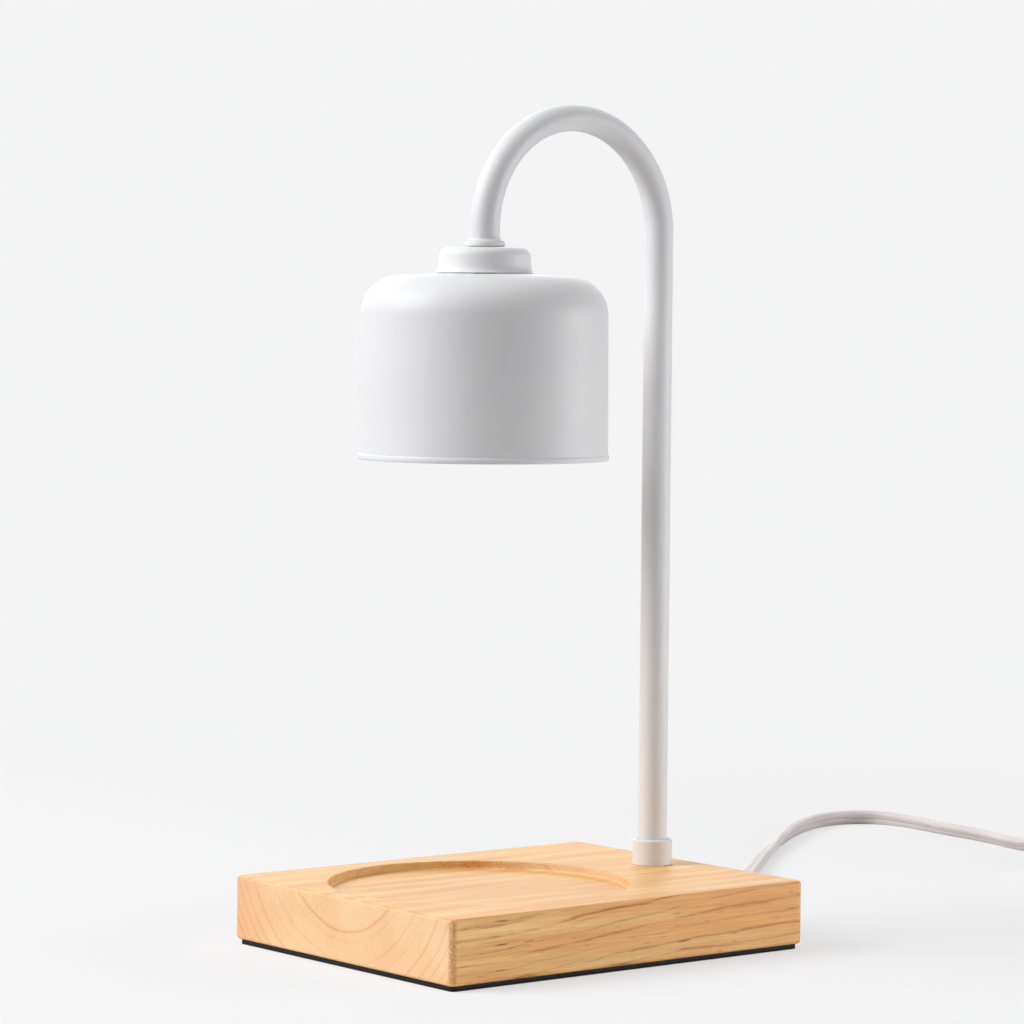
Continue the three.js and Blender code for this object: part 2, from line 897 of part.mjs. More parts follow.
function shadeCap() {
  const [top, side, lip] = [capTopDiameter / 2, capSideDiameter / 2, capLipDiameter / 2];
  const hole = nippleHole / 2;
  return turned([
    [hole, capHeight],
    ...arc(top - capCorner, capHeight - capCorner, capCorner, 90, 0),
    [side, capLipHeight],
    [lip, capLipHeight / 2],
    [lip, 0],
    [lip - sheetWall, 0],
    [side - sheetWall, capLipHeight],
    ...arc(top - capCorner, capHeight - capCorner, capCorner - sheetWall, 0, 90, 2),
    [hole, capHeight - sheetWall],
    [hole, capHeight],
  ]);
}

function shade() {
  const rim = shadeDiameter / 2;
  const side = rim - shadeDraft;
  const hole = nippleHole / 2;
  const flat = capLipDiameter / 2;
  const shoulder = shadeHeight - shadeCrown;
  const inner = shadeCorner - sheetWall;
  return turned(
    [
      [hole, shadeHeight],
      [flat, shadeHeight],
      ...arc(side - shadeCorner, shoulder - shadeCorner, shadeCorner, 90, 0, 5),
      [rim, beadHeight],
      ...beadShoulderShares.map((share) => [rim + beadProud, beadHeight * share]),
      [rim, 0],
      [rim - 2 * sheetWall, 0],
      [rim - 2 * sheetWall, beadHeight],
      [rim - sheetWall, beadHeight],
      ...arc(side - shadeCorner, shoulder - shadeCorner, inner, 0, 90, 3),
      [flat, shadeHeight - sheetWall],
      [hole, shadeHeight - sheetWall],
      [hole, shadeHeight],
    ],
    wideSides,
  );
}

function nipple() {
  const length = springZ - nippleStep - nippleEndZ;
  return prism(ringShape(nippleDiameter / 2, nippleBore / 2, smallSides), length);
}

function lockWasher() {
  const [tip, root] = [lockWasherDiameter / 2, lockWasherDiameter / 2 - lockWasherTooth];
  const outline = [];
  for (let i = 0; i < 4 * lockWasherTeeth; i += 1) {
    const angle = (2 * Math.PI * i) / (4 * lockWasherTeeth);
    const radius = i % 4 < 2 ? tip : root;
    outline.push([radius * Math.cos(angle), radius * Math.sin(angle)]);
  }
  const shape = shapeOf(outline);
  shape.holes.push(shapeOf(arc(0, 0, nippleHole / 2, 360, 0, smallSides).slice(1)));
  return prism(shape, lockWasherThickness);
}

function holderBracket() {
  const [half, mouth, thick] = [bracketSpan / 2, bracketMouth / 2, bracketThickness];
  const profile = shapeOf([
    [mouth, 0],
    [half, 0],
    [half, bracketDrop],
    [-half, bracketDrop],
    [-half, 0],
    [-mouth, 0],
    [-mouth, thick],
    [-half + thick, thick],
    [-half + thick, bracketDrop - thick],
    [half - thick, bracketDrop - thick],
    [half - thick, thick],
    [mouth, thick],
  ]);
  const strap = prism(profile, bracketWidth)
    .translate(0, 0, -bracketWidth / 2)
    .rotateX(Math.PI / 2)
    .rotateZ(Math.PI / 2);
  const screwHole = () => cylinder(screwDiameter + 2 * fit, 2 * overrun + thick);
  return cut(
    strap,
    cylinder(nippleHole, 2 * overrun + thick).translate(0, 0, bracketDrop - thick - overrun),
    screwHole().translate(0, holderScrewSpacing / 2, -overrun),
    screwHole().translate(0, -holderScrewSpacing / 2, -overrun),
  );
}

function addShade() {
  add("shade_cap", shadeCap(), "whitePaint", lampX, 0, capBottom);
  add("shade", shade(), "whitePaint", lampX, 0, shadeTop - shadeHeight);
  add("nipple", nipple(), "brass", lampX, 0, nippleEndZ);
  add("lock_washer", lockWasher(), "steel", lampX, 0, lockWasherTop - lockWasherThickness);
  const nut = hexNut(lockNutFlats, nippleHole, lockNutHeight);
  add("lock_nut", nut, "brass", lampX, 0, lockNutTop - lockNutHeight);
  add("holder_bracket", holderBracket(), "steel", lampX, 0, bracketTop - bracketDrop);
}

// Lamp holder: each pin of the bulb enters a round hole and turns under a lip

function arcSlot(radius, width, from, to) {
  const [a, b] = [from, to].map(THREE.MathUtils.radToDeg);
  const cap = (angle, start) => {
    const centre = THREE.MathUtils.degToRad(angle);
    return arc(radius * Math.cos(centre), radius * Math.sin(centre), width / 2, start, start + 180, 5);
  };
  return shapeOf([
    ...arc(0, 0, radius + width / 2, a, b, 4).slice(1, -1),
    ...cap(b, b),
    ...arc(0, 0, radius - width / 2, b, a, 4).slice(1, -1),
    ...cap(a, a + 180),
  ]);
}

function keyhole(turn) {
  const radius = pinSpacing / 2;
  const headWidth = pinHeadDiameter + 2 * fit;
  const neckWidth = pinDiameter + 2 * fit;
  const neck = prism(arcSlot(radius, neckWidth, turn - twistAngle, turn), holderLip + 2 * overrun);
  const channel = prism(arcSlot(radius, headWidth, turn - twistAngle, turn), holderChannel - holderLip);
  const entryAngle = turn - twistAngle;
  const entry = cylinder(headWidth, holderChannel + overrun).translate(
    radius * Math.cos(entryAngle),
    radius * Math.sin(entryAngle),
    -overrun,
  );
  return [neck.translate(0, 0, -overrun), channel.translate(0, 0, holderLip), entry];
}

function lampHolder() {
  const [boss, wide] = [holderBossDiameter / 2, holderDiameter / 2];
  const body = turned([
    [0, 0],
    [boss, 0],
    [boss, holderBoss],
    [wide, holderBoss + holderBossStep],
    [wide, holderHeight - holderBossStep],
    [boss, holderHeight],
    [0, holderHeight],
  ]);
  const screwTools = [-1, 1].flatMap((side) => {
    const y = (side * holderScrewSpacing) / 2;
    return [
      cylinder(screwDiameter + 2 * fit, holderHeight + 2 * overrun).translate(0, y, -overrun),
      cylinder(headDiameter + 2 * fit, headHeight + skin + overrun).translate(0, y, -overrun),
    ];
  });
  const wireTools = [-1, 1].map((side) =>
    cylinder(wireDiameter + 2 * fit, holderWireDepth + overrun).translate(
      0,
      (side * holderWireSpacing) / 2,
      holderHeight - holderWireDepth,
    ),
  );
  return cut(body, ...keyhole(0), ...keyhole(Math.PI), ...screwTools, ...wireTools);
}

function panScrew(diameter, length, headAcross, headTall) {
  return turned([
    [0, 0],
    [headAcross / 2 - headTall / 3, 0],
    [headAcross / 2, headTall / 2],
    [headAcross / 2, headTall],
    [diameter / 2, headTall],
    [diameter / 2, length - diameter / 2],
    [0, length],
  ], smallSides);
}

function addHolder() {
  add("lamp_holder", lampHolder(), "ceramic", lampX, 0, holderBottom);
  const length = holderHeight + bracketThickness + 2 * skin + screwDiameter / 2;
  [-1, 1].forEach((side, i) => {
    const screw = panScrew(screwDiameter, length, headDiameter, headHeight);
    add(`holder_screw_${i + 1}`, screw, "steel", lampX, (side * holderScrewSpacing) / 2, holderBottom);
  });
}

// Bulb, built hanging down from its top face

function bulbBase() {
  const [top, neck] = [bulbTopDiameter / 2, bulbNeckDiameter / 2];
  const body = turned([
    [0, 0],
    [top - bulbCollar / 2, 0],
    [top, -bulbCollar / 2],
    [top, -bulbCollar],
    [neck, -bulbCollar - bulbCollar],
    [neck, -bulbBaseHeight + reflectorOverlap],
    [neck - reflectorWall, -bulbBaseHeight + reflectorOverlap],
    [neck - reflectorWall, -bulbBaseHeight],
    [0, -bulbBaseHeight],
  ], middleSides);
  const holes = [-1, 1].map((side) =>
    cylinder(pinDiameter + 2 * skin, pinRoot + overrun).translate((side * pinSpacing) / 2, 0, -pinRoot),
  );
  return cut(body, ...holes);
}

function bulbPin() {
  const [shank, head] = [pinDiameter / 2, pinHeadDiameter / 2];
  const headBottom = pinLength - pinHeadHeight;
  return turned([
    [0, skin - pinRoot],
    [shank, skin - pinRoot],
    [shank, headBottom],
    [head, headBottom],
    [head, pinLength - pinChamfer],
    [head - pinChamfer, pinLength],
    [0, pinLength],
  ], smallSides);
}

// The bell of the reflector, from the neck to the rim
function reflectorProfile(inset) {
  const neck = bulbNeckDiameter / 2 - inset;
  const rim = bulbDiameter / 2 - inset;
  const top = -bulbBaseHeight + reflectorOverlap - fit;
  const bottom = -bulbLength + reflectorRim;
  const steps = 5;
  return Array.from({ length: steps + 1 }, (_, i) => {
    const share = i / steps;
    return [neck + (rim - neck) * Math.sqrt(share), top + (bottom - top) * share];
  });
}

function bulbReflector() {
  const outside = reflectorProfile(0);
  const inside = reflectorProfile(reflectorWall - skin).reverse();
  const rim = bulbDiameter / 2;
  return turned([
    ...outside,
    [rim, -bulbLength],
    [rim - reflectorWall, -bulbLength],
    ...inside,
    outside[0],
  ], middleSides);
}

function bulbFrontGlass() {
  const radius = bulbDiameter / 2 - reflectorWall - fit;
  return turned([
    [0, -bulbLength],
    [radius / 2, -bulbLength + skin],
    [radius, -bulbLength + fit],
    [radius, -bulbLength + frontGlassThickness],
    [0, -bulbLength + frontGlassThickness],
  ], middleSides);
}

function bulbCapsule() {
  const radius = capsuleDiameter / 2;
  const top = -bulbBaseHeight - skin;
  const centre = top - capsuleLength + radius;
  return turned([
    [0, top],
    [radius - skin, top],
    [radius, centre],
    ...arc(0, centre, radius, 0, -90, 4).slice(1),
  ], smallSides);
}

function addBulb() {
  const seat = [lampX, 0, bulbTop];
  add("bulb_base", bulbBase(), "ceramic", ...seat);
  add("bulb_reflector", bulbReflector(), "mirrorGlass", ...seat);
  add("bulb_front_glass", bulbFrontGlass(), "glass", ...seat);
  add("bulb_capsule", bulbCapsule(), "glass", ...seat);
  [-1, 1].forEach((side, i) => {
    add(`bulb_pin_${i + 1}`, bulbPin(), "steel", lampX + (side * pinSpacing) / 2, 0, bulbTop);
  });
}

// Wiring inside the lamp

function wireRoute(side, footPoints, crimpZ) {
  const y = (side * wireSpread) / 2;
  const mouth = (side * holderWireSpacing) / 2;
  const arch = Array.from({ length: wireArchPoints + 1 }, (_, i) =>
    archPoint((Math.PI * i) / wireArchPoints, y),
  );
  const bend = (nippleEndZ + holderTop) / 2;
  const points = [
    [crimpMouthX + fit, wireStartY, crimpZ],
    ...footPoints.map(([x, footY, z]) => [postX + x, footY, z]),
    [postX, y, wireTurnHeight],
    [postX, y, wireTurnHeight + wireLeadIn],
    [postX, y, springZ - wireLeadIn],
    ...arch,
    [lampX, y, nippleEndZ],
    [lampX, (y + mouth) / 2, bend],
    [lampX, mouth, holderTop],
    [lampX, mouth, holderTop - holderWireDepth + fit],
  ];
  return new PointwiseRoute(points.map((point) => new THREE.Vector3(...point)));
}

// Tapered strain relief. Ring grooves let it bend with the cord.
function bushing() {
  const [flange, neck, barb] = [bushingFlange / 2, bushingNeck / 2, bushingBarb / 2];
  const tip = bushingTip / 2;
  const wall = endWall + skin;
  const flangeEnd = bushingFlangeThickness;
  const taperAt = (z) => neck + ((tip - neck) * (z - flangeEnd)) / bushingTaper;
  const grooves = [];
  for (let i = 0; i < bushingGrooves; i += 1) {
    const near = flangeEnd + bushingLeadIn + i * bushingGroovePitch;
    const far = near + bushingGrooveWidth;
    grooves.push(
      [taperAt(near), near],
      [taperAt(near) - bushingGrooveDepth, near + skin],
      [taperAt(far) - bushingGrooveDepth, far - skin],
      [taperAt(far), far],
    );
  }
  const body = turned([
    [0, -wall - bushingFlangeThickness],
    [neck, -wall - bushingFlangeThickness],
    [barb, -wall - skin],
    [neck, -wall],
    [neck, 0],
    [flange, 0],
    [flange, flangeEnd - skin],
    [flange - bushingFlangeThickness / 2, flangeEnd],
    [neck + skin, flangeEnd],
    ...grooves,
    [tip, flangeEnd + bushingTaper],
    [0, flangeEnd + bushingTaper],
  ], middleSides).rotateY(Math.PI / 2);
  const boreCorner = cordThickness / 2 + fit - skin;
  const boreShape = roundedRectangle(cordWidth + 2 * fit, cordThickness + 2 * fit, boreCorner);
  const bore = prism(boreShape, 2 * (wall + bushingTaper)).rotateY(Math.PI / 2);
  return cut(body, bore.translate(-wall - bushingTaper, 0, 0));
}

function cordClamp() {
  const height = pocketTop - skin - clampBottom();
  const body = block(clampLength, clampWidth, height);
  const slotHeight = height - clampWeb;
  const slot = block(clampLength + 2 * overrun, cordThickness + 2 * fit, slotHeight + overrun);
  const holes = [-1, 1].map((side) =>
    cylinder(screwDiameter + 2 * fit, height + 2 * overrun).translate(
      0,
      (side * clampScrewSpacing) / 2,
      -overrun,
    ),
  );
  return cut(body, slot.translate(0, 0, clampWeb), ...holes);
}

function clampBottom() {
  return cordExitZ - cordWidth / 2 - fit - clampWeb;
}

function crimpConnector() {
  const radius = crimpDiameter / 2;
  const [across, along] = crimpCrownShares;
  return turned([
    [0, 0],
    [radius, 0],
    [radius, crimpLength - radius],
    [radius * across, crimpLength - radius * (1 - along)],
    [0, crimpLength],
  ], smallSides).rotateY(-Math.PI / 2);
}

function addWiring() {
  const wireSection = shapeOf(arc(0, 0, wireDiameter / 2, 0, 360, 6).slice(1));
  [1, -1].forEach((side, i) => {
    const z = crimpMiddleZ - side * crimpOffset;
    const route = wireRoute(side, wireFootPoints[i], z);
    const steps = (route.points.length - 1) * wireStepsPerPoint;
    add(`inner_wire_${i + 1}`, swept(wireSection, route, steps), "whitePlastic");
    add(`crimp_connector_${i + 1}`, crimpConnector(), "whitePlastic", crimpMouthX, cordY, z);
  });
  add("cord_tail", swept(plainCordSection(), new UprightRoute(tailPoints), tailSteps), "cord");
  add("cord_bushing", bushing(), "whitePlastic", endFaceX + skin, cordY, cordExitZ);
  add("cord_clamp", cordClamp(), "whitePlastic", clampX(), cordY, clampBottom());
  const length = pocketTop - clampBottom() + clampScrewGrip - skin;
  clampScrewPlaces().forEach(([x, y], i) => {
    const screw = panScrew(screwDiameter, length, headDiameter, headHeight);
    add(`clamp_screw_${i + 1}`, screw, "steel", x, y, clampBottom() - headHeight - skin);
  });
}

// Inline dimmer, built along X and turned to lie along the cord

function dimmerOutline(inset) {
  const half = dimmerLength / 2 - inset;
  const [end, middle] = [dimmerEndWidth / 2 - inset, dimmerWidth / 2 - inset];
  const side = (sign) =>
    Array.from({ length: dimmerSidePoints }, (_, i) => {
      const share = (2 * i) / (dimmerSidePoints - 1) - 1;
      const bulge = 1 - Math.abs(share) ** dimmerBulgePower;
      return [sign * share * half, -sign * (end + (middle - end) * bulge)];
    });
  return shapeOf([...side(1), ...side(-1)]);
}

function dimmerShell() {
  const cavityTop = dimmerSplit - dimmerWall;
  const cavity = prism(dimmerOutline(dimmerWall), cavityTop + overrun).translate(0, 0, dimmerWall);
  const walls = [-1, 1].map((side) =>
    block(dimmerEntry, dimmerEndWidth - 2 * dimmerWall, cavityTop - skin).translate(
      side * (dimmerLength / 2 - dimmerEntry / 2 - skin),
      0,
      dimmerWall,
    ),
  );
  const bosses = dimmerScrewPlaces().map(([x, y]) =>
    cylinder(dimmerBossDiameter, dimmerSplit - 2 * skin).translate(x, y, skin),
  );
  const shell = cut(softPrism(dimmerOutline(0), dimmerHeight, dimmerEdge), cavity, upperHalf());
  const slotDepth = cordWidth / 2 + fit;
  const cordSlot = block(dimmerLength + 2 * overrun, cordThickness + 2 * fit, slotDepth + overrun);
  const wheelSpace = cylinder(wheelDiameter + 2 * wheelSideGap, wheelThickness + 2 * wheelGap, roundSides);
  return cut(
    join(shell, ...walls, ...bosses),
    cordSlot.translate(0, 0, dimmerSplit - slotDepth),
    wheelSpace.translate(0, 0, dimmerSplit - wheelThickness / 2 - wheelGap),
  );
}

function upperHalf() {
  const size = 2 * dimmerLength;
  return block(size, size, size).translate(0, 0, dimmerSplit - skin / 2);
}

function dimmerScrewPlaces() {
  return [
    [dimmerScrewX, dimmerScrewY],
    [-dimmerScrewX, -dimmerScrewY],
  ];
}

function lowerShell() {
  const holes = dimmerScrewPlaces().flatMap(([x, y]) => [
    cylinder(dimmerScrewDiameter + 2 * fit, dimmerHeight).translate(x, y, -overrun),
    cylinder(dimmerHeadDiameter + 2 * fit, dimmerHeadHeight + skin + overrun).translate(x, y, -overrun),
  ]);
  return cut(dimmerShell(), ...holes);
}

function upperShell() {
  const depth = dimmerScrewLength - dimmerSplit + fit + overrun;
  const holes = dimmerScrewPlaces().map(([x, y]) =>
    cylinder(dimmerScrewDiameter + 2 * fit, depth).translate(x, -y, dimmerSplit - depth + overrun),
  );
  return cut(dimmerShell(), ...holes).rotateX(Math.PI).translate(0, 0, dimmerHeight);
}

function dimmerWheel() {
  const outline = [];
  for (let i = 0; i < 4 * wheelNotches; i += 1) {
    const angle = (2 * Math.PI * i) / (4 * wheelNotches);
    const radius = wheelDiameter / 2 - (i % 4 < 2 ? 0 : wheelNotchDepth);
    outline.push([radius * Math.cos(angle), radius * Math.sin(angle)]);
  }
  const shape = shapeOf(outline);
  shape.holes.push(shaftShape(fit));
  return prism(shape, wheelThickness);
}

// A round shaft with one flat, so that the wheel turns it
function shaftShape(grown) {
  const radius = shaftDiameter / 2 + grown;
  const flat = shaftDiameter / 2 - shaftFlat + grown;
  const half = THREE.MathUtils.radToDeg(Math.acos(flat / radius));
  return shapeOf(arc(0, 0, radius, half, 360 - half, smallSides));
}

function dimmerBoard() {
  const board = block(dimmerBoardLength, dimmerBoardWidth, dimmerBoardThickness);
  const x = dimmerBoardLength / 2 - componentLength / 2 - skin;
  const parts = [-1, 1].map((side) =>
    block(componentLength, dimmerBoardWidth / 2, componentHeight).translate(side * x, 0, skin),
  );
  return join(board, ...parts);
}

function addDimmer() {
  const dimmer = new THREE.Group();
  dimmer.position.set(dimmerX, dimmerY, 0);
  dimmer.rotation.z = Math.PI / 2;
  group.add(dimmer);
  const boardZ = dimmerWall + skin;
  const potZ = boardZ + dimmerBoardThickness + skin;
  const wheelZ = dimmerSplit - wheelThickness / 2;
  const shaftZ = potZ + potHeight + skin;
  const screw = panScrew(dimmerScrewDiameter, dimmerScrewLength, dimmerHeadDiameter, dimmerHeadHeight);
  dimmer.add(
    add("dimmer_lower_shell", lowerShell(), "whitePlastic"),
    add("dimmer_upper_shell", upperShell(), "whitePlastic"),
    add("dimmer_wheel", dimmerWheel(), "whitePlastic", 0, 0, wheelZ),
    add("dimmer_shaft", prism(shaftShape(0), shaftLength), "steel", 0, 0, shaftZ),
    add("dimmer_pot", block(potLength, potWidth, potHeight), "steel", 0, 0, potZ),
    add("dimmer_board", dimmerBoard(), "greenBoard", 0, 0, boardZ),
    ...dimmerScrewPlaces().map(([x, y], i) => add(`dimmer_screw_${i + 1}`, screw, "steel", x, y, skin)),
  );
}

// Free cord, coil, tie and plug

function coilTie() {
  const inner = coilRadius - (coilPitch * coilTurns) / 2 - cordThickness / 2;
  const outer = coilRadius + cordThickness / 2;
  const height = coilHighZ + cordWidth / 2;
  const low = coilLift - fit;
  const window = [
    [inner - fit, low],
    [outer + fit, low],
    [outer + fit, height + fit],
    [inner - fit, height + fit],
  ];
  const frame = shapeOf([
    [inner - fit - tieThickness, low - tieThickness],
    [outer + fit + tieThickness, low - tieThickness],
    [outer + fit + tieThickness, height + fit + tieThickness],
    [inner - fit - tieThickness, height + fit + tieThickness],
  ]);
  frame.holes.push(shapeOf(window.reverse()));
  const band = prism(frame, tieWidth).translate(0, 0, -tieWidth / 2).rotateX(Math.PI / 2);
  const head = block(tieHead, tieWidth + 2 * tieThickness, tieHead).translate(
    outer + fit + tieHead / 2 + skin,
    0,
    height / 2,
  );
  return join(band, head).rotateZ(tieAngle);
}

// The plug lies along Y, with its cord end at the origin and its blades stacked upright
function plugBody() {
  const [wide, neck] = [plugWidth / 2, plugNeckWidth / 2];
  const total = plugNeckLength + plugLength;
  const shoulder = plugNeckLength + plugLength * plugShoulderShare;
  const neckEnd = plugNeckLength * plugNeckShare;
  const outline = new THREE.Shape();
  outline.moveTo(-neck, 0);
  outline.lineTo(neck, 0);
  outline.lineTo(neck, neckEnd);
  outline.quadraticCurveTo(neck + plugEdge, plugNeckLength, wide, shoulder);
  outline.lineTo(wide, total);
  outline.lineTo(-wide, total);
  outline.lineTo(-wide, shoulder);
  outline.quadraticCurveTo(-neck - plugEdge, plugNeckLength, -neck, neckEnd);
  const grooves = [];
  for (let i = 0; i < plugGrooves; i += 1) {
    const y = (shoulder + total + (2 * i - plugGrooves + 1) * plugGroovePitch) / 2;
    for (const face of [0, plugThickness]) {
      const groove = block(plugGrooveLength, plugGrooveWidth, 2 * plugGrooveDepth);
      grooves.push(groove.translate(0, y, face - plugGrooveDepth));
    }
  }
  const body = cut(softPrism(outline, plugThickness, plugEdge), ...grooves)
    .translate(0, 0, -plugThickness / 2)
    .rotateY(Math.PI / 2);
  const sockets = [-1, 1].map((side) =>
    block(wideBladeWidth + 2 * fit, bladeRoot + overrun, bladeThickness + 2 * skin).translate(
      0,
      total - (bladeRoot - overrun) / 2,
      (side * bladeSpacing) / 2 - bladeThickness / 2 - skin,
    ),
  );
  return cut(body, ...sockets);
}

function plugBlade(width) {
  const length = bladeLength + bladeRoot - skin;
  const blade = softPrism(roundedRectangle(width, length, bladeThickness), bladeThickness, skin, 1);
  const hole = cylinder(bladeHole, bladeThickness + 2 * overrun).translate(
    0,
    length / 2 - bladeHoleFromTip,
    -overrun,
  );
  return cut(blade, hole);
}

function addCord() {
  add("cord_lead", swept(cordSection(), new UprightRoute(leadPoints), leadSteps), "cord");
  add("cord_link", swept(plainCordSection(), new UprightRoute(linkPoints), linkSteps), "cord");
  const coilSteps = Math.round(coilTurns * coilStepsPerTurn);
  const coil = swept(plainCordSection(), new CoilRoute(), coilSteps);
  add("cord_coil", coil, "cord", coilX, coilY, 0);
  add("coil_tie", coilTie(), "board", coilX, coilY, 0);
  add("cord_end", swept(plainCordSection(), new UprightRoute(endPoints), endSteps), "cord");
  const [plugX, endY] = endPoints[endPoints.length - 1];
  const plugY = endY + fit;
  add("plug_body", plugBody(), "whitePlastic", plugX, plugY, plugZ);
  const bladeY = plugY + plugNeckLength + plugLength + (bladeLength - bladeRoot) / 2;
  [bladeWidth, wideBladeWidth].forEach((width, i) => {
    const z = plugZ + ((2 * i - 1) * bladeSpacing) / 2 - bladeThickness / 2;
    add(`plug_blade_${i + 1}`, plugBlade(width), "brass", plugX, bladeY, z);
  });
}

addBase();
addPost();
addShade();
addHolder();
addBulb();
addWiring();
addDimmer();
addCord();
console.log(`Least gap of the coil to itself: ${coilLeastGap().toFixed(2)} mm`);

export default group;
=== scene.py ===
import json
import math

import bmesh
import bpy
from mathutils import Matrix, Quaternion, Vector


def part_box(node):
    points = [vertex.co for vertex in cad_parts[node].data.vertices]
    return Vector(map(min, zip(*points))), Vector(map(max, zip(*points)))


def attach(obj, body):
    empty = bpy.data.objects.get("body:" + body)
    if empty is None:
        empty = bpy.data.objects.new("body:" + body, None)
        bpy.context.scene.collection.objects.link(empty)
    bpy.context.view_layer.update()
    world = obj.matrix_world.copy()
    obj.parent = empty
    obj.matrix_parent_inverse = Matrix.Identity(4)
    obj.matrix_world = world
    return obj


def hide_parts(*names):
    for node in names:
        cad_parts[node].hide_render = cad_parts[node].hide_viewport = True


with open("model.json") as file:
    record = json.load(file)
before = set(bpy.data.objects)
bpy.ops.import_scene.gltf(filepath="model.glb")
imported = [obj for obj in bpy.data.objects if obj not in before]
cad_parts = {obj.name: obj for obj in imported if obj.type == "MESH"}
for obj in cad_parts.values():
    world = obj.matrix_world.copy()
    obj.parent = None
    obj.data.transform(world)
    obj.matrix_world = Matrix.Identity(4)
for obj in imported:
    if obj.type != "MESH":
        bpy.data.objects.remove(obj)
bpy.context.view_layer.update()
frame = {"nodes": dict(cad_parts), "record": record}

# The looks of a candle warmer lamp: a wooden base, a bent white tube, a shade with a reflector
# bulb, and a flat twin cord with an inline dimmer, a tied coil and a plug.
# Metres, +Z up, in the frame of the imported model. +X runs from the candle towards the post.

# Camera
image_side = 1024
focal_pixels = 4000
sensor_width = 36
camera_place = Vector((-1.01762, -1.27156, 0.26477))
camera_yaw = 0.8985
camera_pitch = -0.0531
camera_roll = 0.0089

# Fits
fit = 0.0003
skin = 0.0001
overrun = 0.001
weld_distance = 1e-6
sharp_angle = math.radians(32)

# Base
base_corner = 0.003
base_edge = 0.0014
dish_side_margin = 0.0114
dish_cove = 0.0012
dish_lip = 0.0005
pocket_length = 0.056
pocket_depth = 0.015
pocket_corner = 0.004
pocket_room = 0.0004
screw_diameter = 0.0029
board_screw_length = 0.012
clamp_screw_grip = 0.005
pad_corner = 0.0024
pad_edge = 0.00025

# Tube
tube_diameter = 0.012
tube_wall = 0.001
bend_flattening_share = 0.09
short_leg = 0.0072
arch_steps = 96
tube_sides = 64
collar_chamfer = 0.0008
ring_height = 0.0023
ring_edge = 0.0008
ring_fillet = 0.0013

# Cap and shade
sheet_wall = 0.001
cap_corner = 0.0036
cap_top_diameter = 0.037
cap_lip_edge = 0.0003
cap_flare_share = 0.55
cap_flare_power = 7
nipple_hole = 0.01
shade_corner = 0.016
shade_draft = 0.0004
shade_crown = 0.0006
bead_height = 0.0024
bead_proud = 0.0004
shade_sides = 192

# Bulb
bulb_neck_diameter = 0.026
bulb_top_diameter = 0.0224
bulb_base_height = 0.018
bulb_collar = 0.0022
reflector_overlap = 0.003
reflector_wall = 0.0012
reflector_rim = 0.0034
front_glass_thickness = 0.0016
front_glass_crown = 0.0006
pin_hole = 0.0032
pin_root = 0.003
pin_spacing = 0.01

# Flat twin cord
cord_width = 0.007
cord_thickness = 0.0036
groove_depth = 0.0005
cord_square_power = 3.2
cord_rest = cord_width / 2 + skin
ring_spacing = 0.0022

# Bushing
bushing_flange = 0.014
bushing_flange_thickness = 0.0016
bushing_neck = 0.01
bushing_taper = 0.022
bushing_tip = 0.0094
bushing_barb = 0.0114
bushing_grooves = 5
bushing_groove_pitch = 0.0034
bushing_groove_width = 0.0012
bushing_groove_depth = 0.0006
bushing_lead_in = 0.0032
bushing_tip_edge = 0.0003

# Dimmer
dimmer_length = 0.066
dimmer_width = 0.024
dimmer_end_width = 0.012
dimmer_height = 0.017
dimmer_bulge_power = 2.6
dimmer_edge = 0.002
dimmer_wall = 0.0018
dimmer_entry = 0.005
dimmer_side_points = 48
dimmer_screw_x = 0.019
dimmer_screw_y = 0.0066
dimmer_screw_diameter = 0.0024
dimmer_head_diameter = 0.0042
dimmer_head_height = 0.0014
wheel_diameter = 0.0284
wheel_thickness = 0.0044
wheel_notches = 24
wheel_notch_depth = 0.0007
wheel_edge = 0.0004
wheel_round = wheel_edge / 3
wheel_gap = 0.0004
wheel_side_gap = 0.0008
shaft_diameter = 0.006
mark_count = 7
mark_depth = 0.0003
mark_radius = 0.0082
mark_sweep = math.radians(120)
smallest_mark = 0.0006
largest_mark = 0.0016

# Coil, tie and plug
coil_radius = 0.0435
coil_turns = 4.25
coil_pitch = 0.0046
coil_layer = 0.0076
coil_low = 0.0046
coil_points_per_turn = 24
tie_angle = math.radians(150)
tie_width = 0.0044
tie_thickness = 0.0007
tie_corner = 4 * tie_thickness
tie_head = 0.003
plug_length = 0.027
plug_neck_length = 0.014
plug_width = 0.024
plug_thickness = 0.015
plug_neck_width = 0.01
plug_neck_thickness = 0.0092
plug_neck_share = 0.6
plug_shoulder_share = 0.35
plug_end_edge = 0.0022
plug_square_power = 5
plug_grooves = 5
plug_groove_pitch = 0.0028
plug_groove_width = 0.0013
plug_groove_length = 0.014
plug_groove_depth = 0.0007
blade_spacing = 0.0127
blade_thickness = 0.0015
wide_blade_width = 0.0079
blade_root = 0.005

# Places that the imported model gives
base_low, base_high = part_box("base_block")
shade_low, shade_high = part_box("shade")
cap_low, cap_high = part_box("shade_cap")
collar_low, collar_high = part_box("post_collar")
ring_low, ring_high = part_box("arm_end_ring")
tube_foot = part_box("arch_tube")[0].z
pad_low, pad_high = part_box("base_pad")
dimmer_low, dimmer_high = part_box("dimmer_lower_shell")
plug_low, plug_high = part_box("plug_body")
bulb_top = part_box("bulb_base")[1].z
glass_low, glass_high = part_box("bulb_front_glass")
reflector_low, reflector_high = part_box("bulb_reflector")

